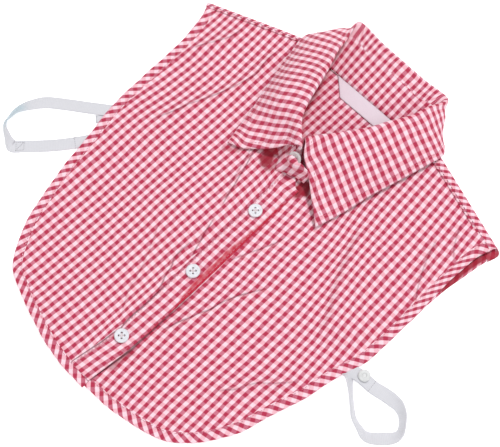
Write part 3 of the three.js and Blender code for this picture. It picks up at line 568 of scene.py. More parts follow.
FRONTS = {
    "left": {
        # where the grain tables start and the step between their columns, then their rows by y
        "across": (-150, 25),
        "warp": {
            144: (-5.4, -2.7, -1.3, -1.0, -1.5, -2.0, -2.5),
            108: (-5.1, -3.6, -3.4, -3.0, -2.4, -2.0, -1.6),
            72: (-3.4, -4.5, -4.9, -3.1, -2.8, -1.8, -0.7),
            36: (-0.8, -2.7, -2.4, -2.5, -2.8, -1.3, 0.2),
            0: (2.2, 1.7, 0.5, -1.2, -0.8, -0.2, 0.8),
            -36: (4.2, 2.2, -0.2, -0.5, 0.6, 1.2, 2.2),
            -72: (4.9, 2.6, 0.2, -0.1, 0.5, 2.3, 4.1),
            -108: (4.8, 3.1, 1.6, 1.2, 1.7, 2.9, 5.2),
            -144: (4.3, 3.8, 3.4, 3.1, 4.2, 4.8, 6.3),
            -180: (3.8, 4.4, 5.1, 6.1, 7.4, 8.4, 8.6),
        },
        "weft": {
            144: (2.4, -0.5, -2.7, -3.7, -3.7, -3.2, -2.6),
            108: (2.3, 0.3, -1.3, -2.4, -2.3, -1.4, -0.2),
            72: (1.5, 1.0, -0.2, -1.6, -1.2, 0.2, 2.0),
            36: (-0.4, -0.3, -1.1, -1.5, -0.7, 1.2, 3.7),
            0: (-2.9, -2.8, -2.6, -2.0, -1.1, 1.1, 3.9),
            -36: (-5.3, -4.5, -3.1, -2.5, -1.8, 0.4, 3.0),
            -72: (-7.2, -5.8, -4.2, -3.5, -2.8, -0.9, 1.6),
            -108: (-8.8, -7.2, -5.7, -4.9, -4.1, -2.3, 0.0),
            -144: (-10.2, -8.7, -7.5, -6.4, -5.5, -3.6, -1.6),
            -180: (-11.5, -10.4, -9.3, -8.1, -6.8, -5.1, -3.3),
        },
        "creases": [
            # path, height of the ridge or depth of the valley, its half width, how much cloth it takes up and
            # how dark its painted shade line is
            ([(-84.5, 130), (-84.5, 112), (-82, 97), (-86.8, 74.7), (-92.2, 58.7), (-97.4, 46.3),
              (-101.3, 38.5), (-103.9, 29.4), (-107.4, 21.3), (-111, 13.2), (-114.8, 5)],
             1.5, 1.2, 1.8, 0.55),
            ([(-122, 122), (-122, 110), (-126, 100), (-132, 89), (-139, 77)], 1.2, 1.2, 0.6, 0.5),
            ([(-34.5, 49), (-30.2, 35.6), (-27.2, 26.6), (-25.4, 19.1), (-23.3, 12.6), (-20.2, 0.9),
              (-17.5, -8)], 0.8, 0.8, 0.2, 0.66),
            ([(-37.3, 48.5), (-33.3, 35.1), (-31.2, 27.8), (-29.3, 20.7), (-26, 9)], 0.5, 0.8, 0.0, 0.62),
            ([(-15, -17), (-12.8, -25.7), (-11.3, -31.9), (-8.9, -38), (-6.6, -46.4), (-3.4, -54)],
             0.8, 0.9, 0.0, 0.64),
            ([(-13.2, -43), (-13.9, -53.3), (-13.6, -60), (-12.7, -64.3), (-9.8, -69.5), (-8.4, -75.1),
              (-6.8, -80.4), (-4.7, -85.1), (-3.4, -93)], 0.7, 0.9, 0.2, 0.62),
            ([(-45, -48), (-38, -62), (-31, -76), (-24, -93), (-20, -106), (-13, -118), (-5, -129)],
             -0.8, 1.1, 0.5, 0.2),
        ],
        "rolls": [
            # path, height, reach of its left side, reach of its right side
            ([(-81, 146), (-85, 112), (-88, 70), (-104, 34), (-121, 3)], 1.6, 12, 9),
            ([(-122, 121), (-125, 102), (-142, 66)], 1.6, 8, 10),
        ],
    },
    "right": {
        "across": (0, 25),
        "warp": {
            144: (10.9, 13.1, 14.8, 15.5, 15.9, 16.6, 17.7),
            108: (6.5, 8.9, 11.5, 13.4, 12.9, 13.3, 14.7),
            72: (2.6, 4.7, 7.2, 10.4, 10.7, 10.3, 11.4),
            36: (-0.4, 1.2, 2.5, 4.9, 9.0, 8.5, 8.2),
            0: (-2.5, -0.6, 1.1, 1.5, 4.6, 7.2, 6.8),
            -36: (-3.7, -2.3, -0.4, 0.1, 1.0, 4.2, 6.1),
            -72: (-3.9, -2.9, -0.4, 0.0, 0.9, 3.1, 5.7),
            -108: (-3.4, -1.1, -0.4, 0.9, 3.2, 4.5, 5.7),
            -144: (-3.6, -1.8, -0.2, 1.6, 2.9, 4.6, 6.1),
            -180: (-4.6, -3.7, -2.2, 0.0, 2.3, 4.6, 6.7),
        },
        "weft": {
            144: (-7.7, -10.4, -12.7, -14.3, -15.3, -16.1, -16.9),
            108: (-3.3, -7.2, -11.0, -13.8, -14.6, -15.9, -17.7),
            72: (0.7, -4.0, -8.9, -13.2, -14.6, -15.9, -18.4),
            36: (3.8, -1.2, -6.6, -12.1, -15.9, -17.4, -19.8),
            0: (5.4, 0.0, -5.9, -11.3, -16.4, -19.8, -22.2),
            -36: (5.5, -0.3, -6.2, -11.2, -15.8, -20.8, -25.0),
            -72: (4.6, -1.2, -6.9, -11.5, -16.2, -21.8, -27.4),
            -108: (3.0, -2.6, -7.8, -12.9, -18.5, -24.0, -29.6),
            -144: (1.5, -4.1, -9.7, -15.4, -20.8, -26.3, -31.9),
            -180: (0.0, -5.8, -11.6, -17.4, -23.1, -28.6, -34.2),
        },
        "creases": [
            ([(37, 12), (32.4, -2), (28.4, -11.1), (24.5, -19.6), (21.8, -25.8), (18.7, -35.9)],
             -0.7, 1.0, 0.5, 0.45),
            ([(56.5, -27), (46.5, -45), (39.3, -60.4), (36.3, -72.9), (33, -79.9), (29.9, -88), (26.8, -95.2),
              (24.2, -103.3), (20, -112)], -1.0, 1.1, 1.4, 0.62),
            ([(125, -64), (119.5, -70), (114.5, -76), (109.4, -81.5), (104.9, -85.5), (101.9, -88.9),
              (97.9, -95.6), (94.9, -101.9), (88.9, -108.9), (84, -115)], 1.0, 1.2, 1.3, 0.42),
            ([(128, 118), (132, 107), (138, 96), (144, 89)], 1.0, 1.2, 0.2, 0.4),
            ([(122, 95), (126, 82), (131, 68), (139, 52), (147, 41)], 1.0, 1.2, 0.4, 0.45),
        ],
        "rolls": [
            ([(74, 68), (84, 38), (96, 10), (107, -9), (115, -34)], 4.6, 36, 7),
            ([(52, -34), (37, -71), (20, -110)], 1.5, 10, 10),
            ([(124, -63), (101, -91), (72, -123)], 1.7, 10, 10),
            ([(120, 95), (130, 70), (143, 46)], 1.4, 10, 8),
        ],
    },
}
# the fainter of two close creases gets only a soft painted shade line: its front, and its place in the list
SOFT_CREASE = ("left", 3)
FRONT_EDGES = {
    "left": {
        "shoulder": [(-154.5, 118.8), (-117, 133.6), (-76, 149.2), (-60, 152.6)],
        "neck": [(-57, 147), (-54.0, 139), (-53.6, 132), (-52.6, 122), (-48.6, 106), (-41.7, 88.6),
                 (-32, 74.2), (-20.3, 62.5), (-7, 55), (-2.7, 54)],
        "opening": [(-2.7, 54), (-2, 40), (-2, -110), (-2.6, -140), (-7.6, -174.5)],
    },
    "right": {
        "shoulder": [(153.4, 119.6), (118, 131), (79, 144.6), (61, 149.6)],
        "neck": [(58.6, 146), (56, 140), (57.6, 133), (56.6, 122), (52.6, 107.4), (44.7, 91.9), (33.9, 77.3),
                 (19.5, 64.6), (4, 57), (-6, 56)],
        "opening": [(-6, 56), (-8, 40), (-8, -173)],
    },
}
PLACKET_GRAIN = [
    # y, drift of the warp, drift of the weft, along the placket's seam
    (48, 2.6, 6.8), (40, 2.0, 6.2), (32, 0.5, 6.3), (16, 0.2, 5.2), (0, -0.4, 4.0), (-16, -0.1, 2.4),
    (-32, -0.1, 1.7), (-48, -0.2, 1.4), (-64, -0.8, 0.5), (-80, -0.5, 0.5), (-96, -0.4, 0.3),
    (-112, 0.4, -0.2), (-128, 0.9, -0.4), (-144, 3.3, -1.5), (-160, 5.9, -2.3), (-176, 8.2, -2.6),
]
RECESSES = {
    # where the cloth is painted with the shade it lies in under the collar or the placket: places, reach, how
    # red, how dark
    "left": [
        ([(-24, 46.5), (-19, 43.5)], 2.6, 0.92, 0.9), ([(-23, 52), (-20, 48)], 4.0, 0.96, 0.75),
        ([(-27, 55), (-19, 60)], 3.6, 0.9, 0.0), ([(-16, 44), (-11, 50)], 3.6, 0.6, 0.9),
        ([(-53, 31), (-44, 37)], 2.0, 0.5, 0.6)],
    "right": [
        ([(15.5, 51), (17.8, 48)], 3.2, 0.95, 0.7), ([(14.5, 46.5), (17.4, 43.5)], 2.8, 0.95, 0.8),
        ([(18, 55), (21, 49)], 3.0, 0.95, 0.75),
        ([(17.4, -139), (16, -147), (15.4, -156)], 2.2, 0.55, 0.8)],
}
# the placket's free edge from the collar to the hem, and how strong the painted shade beside it is, by -y
PLACKET_FREE_EDGE = (
    (-30, 76, 97, 117, 127, 138, 147, 156, 165, 176),
    (17.2, 17.7, 17.3, 16.6, 16.1, 16.3, 14.9, 13.7, 12.1, 9.9))
PLACKET_SHADE = ((40, 80, 110, 140, 176), (0, 0.4, 0.7, 1, 1))
# heights of the fronts' cloth on the back and where it is sewn at the shoulders, and how far it rises over
# the lap and at the open shoulder
FRONT_LIES = 2.7
SHOULDER_SEWN = 3.2
LAP_RISE = 1.8
SHOULDER_RISE = 2.4
# the grid of a front, and how many of its columns lie along the shoulder
FRONT_ROWS = 186
FRONT_COLUMNS = 262
SHOULDER_COLUMNS = 104


def ease(start, end, value):
    """0 at the start and 1 at the end, with a soft beginning and ending between."""
    t = np.clip((value - start) / (end - start), 0, 1)
    return t * t * (3 - 2 * t)


def off_path(path, x, y):
    """Distance to the left of a path, with its sign, and the share of the path's length passed."""
    path = np.asarray(path, float)
    run = run_along(path)
    away = np.full(np.shape(x), 1e9)
    side = np.ones(np.shape(x))
    share = np.zeros(np.shape(x))
    for k, (start, step) in enumerate(zip(path[:-1], np.diff(path, axis=0))):
        t = np.clip(((x - start[0]) * step[0] + (y - start[1]) * step[1]) / (step @ step), 0, 1)
        dx = x - start[0] - t * step[0]
        dy = y - start[1] - t * step[1]
        here = np.hypot(dx, dy)
        nearer = here < away
        away = np.where(nearer, here, away)
        side = np.where(nearer, np.sign(step[0] * dy - step[1] * dx), side)
        share = np.where(nearer, (run[k] + t * np.linalg.norm(step)) / run[-1], share)
    return away * side, share


def node_weights(start, step, count, at):
    """How much each evenly spaced node counts at each place, on a smooth curve through the nodes."""
    t = np.clip((np.asarray(at, float) - start) / step, 0, count - 1)
    k = np.minimum(t.astype(int), count - 2)
    f = t - k
    parts = [
        -0.5 * f + f**2 - 0.5 * f**3, 1 - 2.5 * f**2 + 1.5 * f**3,
        0.5 * f + 2 * f**2 - 1.5 * f**3, -0.5 * f**2 + 0.5 * f**3]
    w = np.zeros((count + 2,) + t.shape)
    places = np.indices(t.shape)
    for j, part in enumerate(parts):
        np.add.at(w, (k + j, *places), part)
    w[1] += 2 * w[0]
    w[2] -= w[0]
    w[count] += 2 * w[count + 1]
    w[count - 1] -= w[count + 1]
    return w[1:count + 1]


def drift_at(table, start, step, x, y):
    """Drift at each place, from a table of rows by height whose values lie a step apart across."""
    rows = sorted(table)
    values = np.array([table[row] for row in rows])
    across = node_weights(start, step, values.shape[1], x)
    down = node_weights(rows[0], rows[1] - rows[0], len(rows), y)
    return np.einsum("i...,j...,ji->...", across, down, values)


def placket_grain(y, column):
    """Drift of the placket's checks at a height: of the warp in column 1, of the weft in column 2."""
    drift = np.array(PLACKET_GRAIN)[::-1]
    return np.interp(y, drift[:, 0], drift[:, column])


def crease_paths(front):
    """The creases of a front, each path a smooth line of even steps."""
    return [(even_curve(path, 40), *rest) for path, *rest in FRONTS[front]["creases"]]


def front_height(front):
    """Height of the middle of the cloth: over the back, over the lap, the creases and the rolls."""
    edge = body_edge(front, 4)
    shoulder = even_curve(SHOULDERS[front]["line"], 30)
    rolls = [(even_curve(path, 30), *rest) for path, *rest in FRONTS[front]["rolls"]]
    creases = crease_paths(front)

    def height(x, y, pressed=True):
        inside = np.abs(off_path(edge, x, y)[0])
        shoulder_near = np.abs(off_path(shoulder, x, y)[0])
        z = np.full(np.shape(x), FRONT_LIES)
        settled = 1
        if front == "left":
            z = z + LAP_RISE * ease(-90, -14, x)
            calm = ease(-3, -15, x)
        else:
            calm = ease(17, 28, x)
            z = z + SHOULDER_RISE * ease(55, 112, y) * ease(118, 150, x)
            settled = 1 - 0.8 * ease(120, 150, x)
        z = z + (SHOULDER_SEWN - z) * (1 - ease(6, 22, shoulder_near)) * settled
        free = calm * ease(7, 22, inside) * ease(6, 20, shoulder_near)
        for path, rise, left_reach, right_reach in rolls:
            away, share = off_path(path, x, y)
            fade = ease(0, 0.2, share) * ease(1, 0.8, share)
            reach = np.where(away > 0, left_reach, right_reach)
            z = z + free * fade * 1.25 * rise * np.exp(-((away / reach) ** 2) * 2)
        if pressed:
            loose = calm * ease(6.5, 10, inside) * ease(5, 10, shoulder_near)
            for path, rise, width, *_ in creases:
                away, share = off_path(path, x, y)
                fade = ease(0, 0.12, share) * ease(1, 0.88, share)
                z = z + loose * fade * 1.5 * rise * np.exp(-np.abs(away) / width)
            z = z + 0.10 * np.sin(x / 5.3 + y / 17) * np.sin(y / 7.9 - x / 23)
        return z

    return height


def front_cloth(front, x, y):
    """Where the warp and weft lie, in line with the placket's at its seam, and taken up by the creases."""
    start_step = FRONTS[front]["across"]
    warp = x + drift_at(FRONTS[front]["warp"], *start_step, x, y)
    weft = y + drift_at(FRONTS[front]["weft"], *start_step, x, y)
    if front == "left":
        seam_share = ease(-15, -4.5, x) * ease(-178, -165, y)
        beside = placket_grain(y, 1) + WARP_REPEAT * ease(-45, -70, y) * ease(-180, -125, y)
        warp = warp + seam_share * (1 - ease(-40, -52, y) * ease(-78, -64, y)) * (x + beside - warp)
        weft = weft + seam_share * 0.6 * (y + placket_grain(y, 2) + 0.5 - weft)
    for path, _, _, taken, _ in crease_paths(front):
        away, share = off_path(path, x, y)
        fade = np.clip(np.minimum(share, 1 - share) * 5, 0, 1)
        warp = warp + taken * 0.5 * np.tanh(away / 1.5) * fade * np.exp(-((away / 14) ** 2))
    return np.dstack([warp, weft])


def front_shade(front):
    """Painted shade: how red and how dark the front is painted where it lies deep under the collar and the
    placket.
    """

    def deep(points):
        share, darkness, weight = (np.zeros(len(points)) for _ in range(3))
        for line, reach, most, dark in RECESSES[front]:
            here = np.minimum(1, 2.2 * near(points[:, :2], line, reach))
            share = np.maximum(share, most * here)
            darkness, weight = darkness + here * dark, weight + here
        return painted_shade_values(share, darkness / (weight + 1e-6))

    return deep


def front_lines(front):
    """Painted shade lines and painted highlights along the creases, and painted shade under the placket's
    free edge towards the hem.
    """
    creases = crease_paths(front)

    def crease(points):
        x, y = points[:, 0], points[:, 1]
        nearest, pressed, drawn = np.full(len(x), 30.0), np.zeros(len(x)), np.zeros(len(x))
        for k, (path, rise, _, _, mark) in enumerate(creases):
            away, share = off_path(path, x, y)
            uneven = 0.85 + 0.15 * np.sin(share * 23 + 2)
            strength = mark * ease(0, 0.1, share) * ease(1, 0.9, share) * uneven
            if (front, k) == SOFT_CREASE:
                drawn = np.maximum(drawn, strength * np.exp(-((away / 0.6) ** 2)))
                continue
            closer = np.abs(away) < np.abs(nearest)
            nearest = np.where(closer, -away if rise > 0 else away, nearest)
            pressed = np.where(closer, strength * ease(4.5, 3, np.abs(away)), pressed)
        if front == "right":
            free = np.interp(-y, *PLACKET_FREE_EDGE)
            strength = np.interp(-y, *PLACKET_SHADE)
            drawn = np.maximum(drawn, strength * ease(0.8 + 0.7 * strength, 0.4, np.abs(x - free)))
        return np.c_[nearest, pressed, drawn]

    return crease


def front_grid(front):
    """The middle of a front's cloth between its edges, from the hem up and from left to right."""
    sign = OUTWARDS[front]
    parts = FRONT_EDGES[front]
    edge = moved_left(body_edge(front, 0.8), -sign * (BINDING_WIDTH - 1.8))
    start = int(np.argmin(np.abs(edge[:, 1] - parts["shoulder"][0][1])))
    corner = int(np.argmin(np.hypot(edge[:, 0] - sign * 103, edge[:, 1] + 145)))
    inner = np.flatnonzero(sign * (edge[:, 0] - parts["opening"][-1][0]) < 0)
    last = inner[0] if len(inner) else len(edge) - 1
    side = np.vstack([parts["shoulder"][:1], edge[start + 1:corner + 1]])[::-1]
    shoulder = even_curve(parts["shoulder"], SHOULDER_COLUMNS + 1)[:-1]
    top = np.vstack([shoulder, even_curve(parts["neck"], FRONT_COLUMNS - SHOULDER_COLUMNS)])
    run = run_along(top)
    shares = 0.55 * np.linspace(0, 1, FRONT_COLUMNS) + 0.45 * run / run[-1]
    hem = resampled(np.vstack([edge[corner:last], parts["opening"][-1:]]), FRONT_COLUMNS * 4)
    hem = hem[np.round(shares * (len(hem) - 1)).astype(int)]
    flat = patch(hem, top, resampled(side, FRONT_ROWS), even_curve(parts["opening"], FRONT_ROWS)[::-1])
    if front == "right":
        flat = flat[:, ::-1]
    x, y = flat[..., 0], flat[..., 1]
    return np.dstack([x, y, heights[front](x, y)])


heights = {front: front_height(front) for front in OUTWARDS}
for front, wearer in (("left", "right"), ("right", "left")):
    grid = front_grid(front)
    shells = [cloth_shell(grid, front_cloth(front, grid[..., 0], grid[..., 1]), CLOTH)]
    panel = made(f"front_cloth_{wearer}", shells, shirting, front_shade(front), front_lines(front))
    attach(panel, "root")
    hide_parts(f"front_panel_{wearer}")

    # each front's binding follows its height, and runs on past the middle where the two lap
    strip = clipped_edge(body_edge(front), front, SHOULDERS[front]["turn"] - 1.5)
    lap = 11.5 if front == "left" else -10
    strip = resampled(np.vstack([strip, [(lap * k / 8, strip[-1][1]) for k in range(1, 9)]]), 420)
    # below the shoulder the wearer's left binding rolls under, so its bars slant further
    rolled_under = ease(5, 25, strip[:, 1]) * ease(108, 96, strip[:, 1])
    slant = 1 if front == "left" else -1 - 0.65 * rolled_under
    shell = bound_edge(strip, front, lambda x, y: heights[front](x, y, False) - 0.9, thick=2.2, slant=slant)
    bound = made(f"front_binding_{wearer}_strip", [shell], bias_gingham)
    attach(bound, "root")
    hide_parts(f"front_binding_{wearer}")


# The button placket
# A doubled strip down the wearer's right front, sewn on at its inner seam and folded at its free edge. It
# lies over the left front, and its lower end swings out a little towards the hem.

PLACKET_ROWS = [
    # y, x of the seam, x of the free edge
    (53, -4.2, 14.6), (42, -3.8, 15.4), (30, -3.4, 16.5), (-20, -3.6, 17), (-80, -3.2, 17),
    (-118, -3.2, 16.5), (-146, -4.4, 14.6), (-176, -9.2, 11.4),
]
PLACKET_THICK = 1.5
PLACKET_LIES = 4.85
# by -y: how wide the painted shade of the rolled edge is, and x of the painted shade line along the seam
ROLLED_WIDTH = ((-40, -20, 0, 20, 45, 65, 80, 92), (0.6, 1.4, 2.0, 3.8, 4.8, 4.4, 2.6, 0))
SEAM_LINE = (
    (60, 90, 99, 109, 115, 120, 127, 131, 138, 150, 158, 167, 174),
    (-2.4, -1.8, -1.5, -1.6, -2.2, -2.3, -2.0, -1.2, -2.5, -3.9, -5.6, -7.2, -8.6))


def placket_surface():
    """The placket's middle and its checks: stitched dips, small tucks at the collar, a rolled free edge."""
    rows = np.array(PLACKET_ROWS, float)
    down = np.linspace(rows[0, 0], rows[-1, 0], 230)[::-1]
    seam = np.interp(-down, -rows[:, 0], rows[:, 1])
    free = np.interp(-down, -rows[:, 0], rows[:, 2])
    share = np.r_[0, 0.02, 0.05, np.linspace(0.09, 0.91, 26), 0.95, 0.98, 1.0]
    x = seam[:, None] + (free - seam)[:, None] * share[None]
    y = np.repeat(down[:, None], len(share), axis=1)
    edge_dip = 0.35 * (np.exp(-((share - 0.115) / 0.03) ** 2) + 0.8 * np.exp(-((share - 0.9) / 0.03) ** 2))
    round_off = 0.5 * (share < 0.03) + 0.45 * (share > 0.97)
    z = PLACKET_LIES - edge_dip[None] - round_off[None] + 0 * x
    tuck = ease(30, 50, y)
    z = z + tuck * 0.7 * np.sin((x + 0.25 * y) / 2.1) + 0.12 * np.sin(y / 6.3) * np.sin(x / 4.1 + y / 13)
    z = z - 1.7 * ease(11.0, 16.8, x) * ease(-85, -62, y) * ease(50, 44, y)
    z = z + 1.6 * ease(5, 11, x) * ease(-140, -172, y)
    x = x + 4.0 * ease(33, 54, y) * ease(-3, 6, x) - 1.5 * ease(9, 14, x) * ease(38, 52, y)
    y = y - 7.0 * ease(5, 15, x) * ease(36, 53, y)
    u = x + placket_grain(y, 1) - 4.0 * ease(33, 54, y) * ease(-3, 6, x)
    v = y + placket_grain(y, 2) - 0.12 * (x - 4)
    return np.dstack([x, y, z]), np.dstack([u, v])


def placket_shade(points):
    """Painted shade: the red the free edge is painted where it rolls away from the light, broken by the
    weave.
    """
    x, y = points[:, 0], points[:, 1]
    width = np.interp(-y, *ROLLED_WIDTH) + 0.7 * np.sin(y / 4.1) * np.sin(y / 2.3 + x)
    rolled = ease(-0.8, 0.8, x - 16.4 + width)
    return painted_shade_values(rolled * (0.84 + 0.13 * np.sin(y / 1.7 + x / 1.1) * np.sin(x / 0.9 - y / 3.1)))


def placket_lines(points):
    """A painted shade line and highlight along the placket's seam, sharper towards the hem."""
    x, y = points[:, 0], points[:, 1]
    away = x - np.interp(-y, *SEAM_LINE)
    pressed = (0.2 + 0.65 * ease(-82, -92, y)) * ease(4.5, 3, np.abs(away))
    return np.c_[away, pressed, 0 * x]


placket_grid, placket_cloth = placket_surface()
placket_shell = cloth_shell(placket_grid, placket_cloth, PLACKET_THICK)
placket = made("placket_strip", [placket_shell], shirting, placket_shade, placket_lines)
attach(placket, "root")
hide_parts("button_placket")


# The shirt buttons
# Four-hole buttons of white polyester with a raised rim, sewn on with pink thread: three down the placket and
# one on the collar stand, half lost in the puckered cloth.

POLYESTER = (0.80, 0.81, 0.86)
# a darker copy of the polyester for the collar button, with painted shade for the folds it lies among
SHADED_POLYESTER = (0.60, 0.56, 0.56)
PALE_THREAD = (0.84, 0.72, 0.76)
HOLE_REACH = 2.12
BAR_HALF = 0.52
# places along a bar of thread from one hole to the other, and its height there
BAR_ALONG = np.array([-1.0, -0.96, -0.8, -0.45, 0, 0.45, 0.8, 0.96, 1.0])
BAR_ARCH = np.array([-1.5, -0.5, 0.1, 0.3, 0.35, 0.3, 0.1, -0.5, -1.5])


def moulded(name, colour, roughness, clear=0.0):
    """Cast polyester: faint clouding, fine scratches and a soft polish."""
    material, tree, shader = new_material(name, {
        "Coat Weight": 0.25, "Coat Roughness": 0.12, "Transmission Weight": clear})
    place = add_node(tree, "ShaderNodeTexCoord").outputs["Object"]
    tones = ranged(tree, noise(tree, place, scale=420.0, detail=3.0).outputs[0], 0.3, 0.7)
    duller = tuple(c * 0.86 for c in colour)
    tree.links.new(mixed(tree, tones, (*duller, 1), (*colour, 1)), shader.inputs["Base Color"])
    scratch = noise(tree, place, scale=2600.0, detail=2.0).outputs[0]
    add_bump(tree, shader, scratch, depth=0.00004, strength=0.4)
    shine = ranged(tree, scratch, 0.0, 1.0, roughness - 0.06, roughness + 0.1)
    tree.links.new(shine, shader.inputs["Roughness"])
    return material


def thread_material(name, colour):
    """Twisted sewing thread."""
    material, tree, shader = new_material(name, {"Roughness": 0.6})
    place = add_node(tree, "ShaderNodeTexCoord").outputs["Object"]
    twist = add_node(tree, "ShaderNodeTexWave", {"Vector": place, "Scale": 900.0, "Distortion": 1.5})
    twist = twist.outputs[1]
    # painted shade: the thread is darker where its twist dips
    darker = tuple(c * 0.7 for c in colour)
    tree.links.new(mixed(tree, twist, (*darker, 1), (*colour, 1)), shader.inputs["Base Color"])
    add_bump(tree, shader, twist, depth=0.00005)
    return material


def thread_bars(centre):
    """Two crossed bars of thread from hole to hole, arched a little over the button's middle."""
    up = np.array([0, 0, 1])
    ring = np.linspace(0, 2 * math.pi, 7)[:-1]
    number = np.arange(len(BAR_ALONG) * len(ring)).reshape(len(BAR_ALONG), len(ring))
    after = np.roll(number, -1, axis=1)
    faces = np.stack([number[:-1], after[:-1], after[1:], number[1:]], axis=2).reshape(-1, 4)
    caps = [[0, 5, 4, 1], [1, 4, 3, 2], [48, 49, 52, 53], [49, 50, 51, 52]]
    shells = []
    for turn in (0.25, 0.75):
        along = np.array([math.cos(turn * math.pi), math.sin(turn * math.pi), 0])
        side = np.array([-along[1], along[0], 0])
        middle = centre + along * BAR_ALONG[:, None] * HOLE_REACH + np.outer(BAR_ARCH + turn * 0.3 - 0.2, up)
        round_it = np.cos(ring)[None, :, None] * side + np.sin(ring)[None, :, None] * up
        tube = (middle[:, None] + BAR_HALF * round_it).reshape(-1, 3)
        shells.append((tube, np.vstack([faces, caps]), np.zeros((len(tube), 2))))
    return shells


shirt_button = moulded("white_polyester", POLYESTER, 0.3)
# the collar button's material is the darker copy, with painted shade
button_in_shade = moulded("shaded_polyester", SHADED_POLYESTER, 0.35)
bars = []
for name in ("button_top", "button_middle", "button_bottom", "collar_button"):
    for slot in bpy.data.objects[name].material_slots:
        slot.material = button_in_shade if name == "collar_button" else shirt_button
    if name != "collar_button":
        low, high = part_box(name)
        face = np.array([(low.x + high.x) / 2, (low.y + high.y) / 2, high.z]) * 1000 - ORIGIN
        bars += thread_bars(face - [0, 0, 0.45])
bars = made("button_threads", bars, thread_material("pale_thread", PALE_THREAD))
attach(bars, "root")


# The collar stand
# A stiffened band of gingham sewn to the neckline all round. It stands up inside the collar, lies nearly flat
# at the back of the neck, and its two rounded ends lap over each other at the front under a button.

COLLAR_STATIONS = [
    # neck seam, fold, middle of the leaf, edge of the leaf
    ((-7, 53, 5.2), (-2, 67, 29), (-29.5, 49.5, 9.5), (-53.8, 35.6, 6.4)),
    ((-21, 61, 5), (-12, 77, 32), (-37.2, 67.2, 17), (-57.2, 52.2, 6.8)),
    ((-33, 73, 5), (-19, 85, 34), (-43, 79, 23.5), (-61, 72, 7.5)),
    ((-43, 88, 5), (-24, 98, 36), (-49, 94, 27), (-66, 92, 8)),
    ((-50, 106, 5), (-29, 116, 36), (-54, 112, 26), (-71, 112, 8)),
    ((-54, 122, 5), (-34, 133, 34), (-60, 131, 23), (-75, 132, 8)),
    ((-55, 132, 5.8), (-42, 153, 27), (-64, 152, 19), (-77.5, 151, 8.4)),
    ((-54, 139, 6), (-46, 168, 20), (-63, 170, 12), (-71, 165, 2)),
    ((-51, 145, 5.4), (-51, 182.5, 14.5), (-60, 180, 6), (-58, 168, 0.8)),
    ((-45, 148, 3.4), (-53, 193.6, 9.6), (-52, 182, 1.8), (-48, 152, 0.7)),
    ((-24, 148.4, 2.4), (-23, 192, 9), (-23, 178, 1.8), (-23, 149, 0.7)),
    ((0, 148.4, 2.4), (0, 191.5, 8.6), (0, 178, 1.8), (0, 148, 0.7)),
    ((24, 148.4, 2.4), (22, 190.6, 9), (22, 177, 1.8), (22, 148, 0.7)),
    ((45, 148, 3.4), (48.5, 191, 9), (51, 182, 1.8), (48, 152, 0.7)),
    ((52, 146, 5.4), (47.5, 182, 12.5), (57.5, 178, 5.5), (58, 166, 0.8)),
    ((57, 140, 6), (44, 171, 17), (61, 168, 10), (70, 162, 2)),
    ((59, 133, 5.8), (40, 154, 20), (63, 152.5, 15), (79.2, 150, 8.6)),
    ((58, 122, 5), (32, 137, 23), (56, 135, 18), (76, 136, 8)),
    ((54, 107, 5), (24, 119, 25), (50, 119, 19), (72, 121, 8)),
    ((46, 91, 5), (14, 104, 26), (41, 103, 20), (67, 103, 8)),
    ((35, 76, 4.6), (6, 92, 27), (34, 87, 20), (61, 82, 8)),
    ((20, 63, 4), (-1, 82, 28), (25.1, 72.9, 17), (55.6, 58.4, 7)),
    ((4, 55.5, 3.6), (-5, 75, 28), (18.4, 55.7, 15), (48.2, 32.5, 7)),
]
STATION_STEPS = 12
STAND_ROWS = 15
FOLD_ROLL = 4.6
STAND_SHARE = 0.72
STAND_ENDS = {
    # the lower and upper ends of the rows past each end of the neck seam
    "right": [((15.5, 53, 7.2), (16.5, 57.6, 14.5)), ((3, 52.6, 6.2), (5.2, 60.2, 20.4))],
    "left": [((-3, 58.5, 3.6), (-9, 70.5, 20)), ((-12, 62, 3.8), (-14.5, 69.5, 14.5))],
}
PUCKERS = [
    # where the stand's lapped end is pushed out round its button and flares at its lower edge: place,
    # reach, move
    ((-0.2, 58.4, 17.6), 4.3, (-0.8, -5.4, 6.2)),
    ((-5.0, 59.6, 20.0), 3.4, (-0.4, -4.0, 2.6)),
    ((-8.0, 52.0, 6.0), 5.5, (-2.2, -7.0, 0.6)),
    ((1.5, 52.5, 6.2), 4.0, (0.0, -2.2, 0.4)),
    ((4.5, 55.5, 13), 2.8, (0.3, -1.5, 0.8)),
    ((9.5, 57.5, 14), 5.0, (3.2, 0.8, 2.6)),
    ((2.5, 57.5, 18.0), 3.2, (0.6, -2.6, 3.0)),
    ((-9.5, 57, 11), 3.2, (-1.2, -1.2, 0.6)),
]
RUFFLE_REPEAT = 6.5
NECK_MIDDLE = np.array([0.0, 110.0, 60.0])
FOLD_SHADE = [
    (-45.5, 150, 4), (-48.2, 160, 5), (-49.5, 172, 6), (-50.5, 180, 7), (-47.5, 186, 8), (-44, 189, 8.2)]
LAP_HOLLOWS = [
    # painted shade in the hollow under the lapped ends: place, reach
    ((-13, 63, 10), 5.0),
    ((-11, 60.5, 15), 3.4),
]

collar_table = np.array(COLLAR_STATIONS, float)
seam, fold, leaf_middle, leaf_edge = (smooth_curve(collar_table[:, k], STATION_STEPS) for k in range(4))
over = unit(unit(fold - seam) + unit(fold - leaf_edge))
outwards = leaf_edge - fold
outwards = unit(outwards - over * (outwards * over).sum(axis=1, keepdims=True))
under = fold - over * FOLD_ROLL * 0.55
stand_side = under - outwards * FOLD_ROLL / 2
leaf_side = under + outwards * FOLD_ROLL / 2


def inwards(grid):
    """Unit directions across the wall of the stand, towards the wearer's neck."""
    across = unit(np.cross(np.gradient(grid, axis=0), np.gradient(grid, axis=1)))
    return across * np.sign((across * (NECK_MIDDLE - grid)).sum(axis=2, keepdims=True))


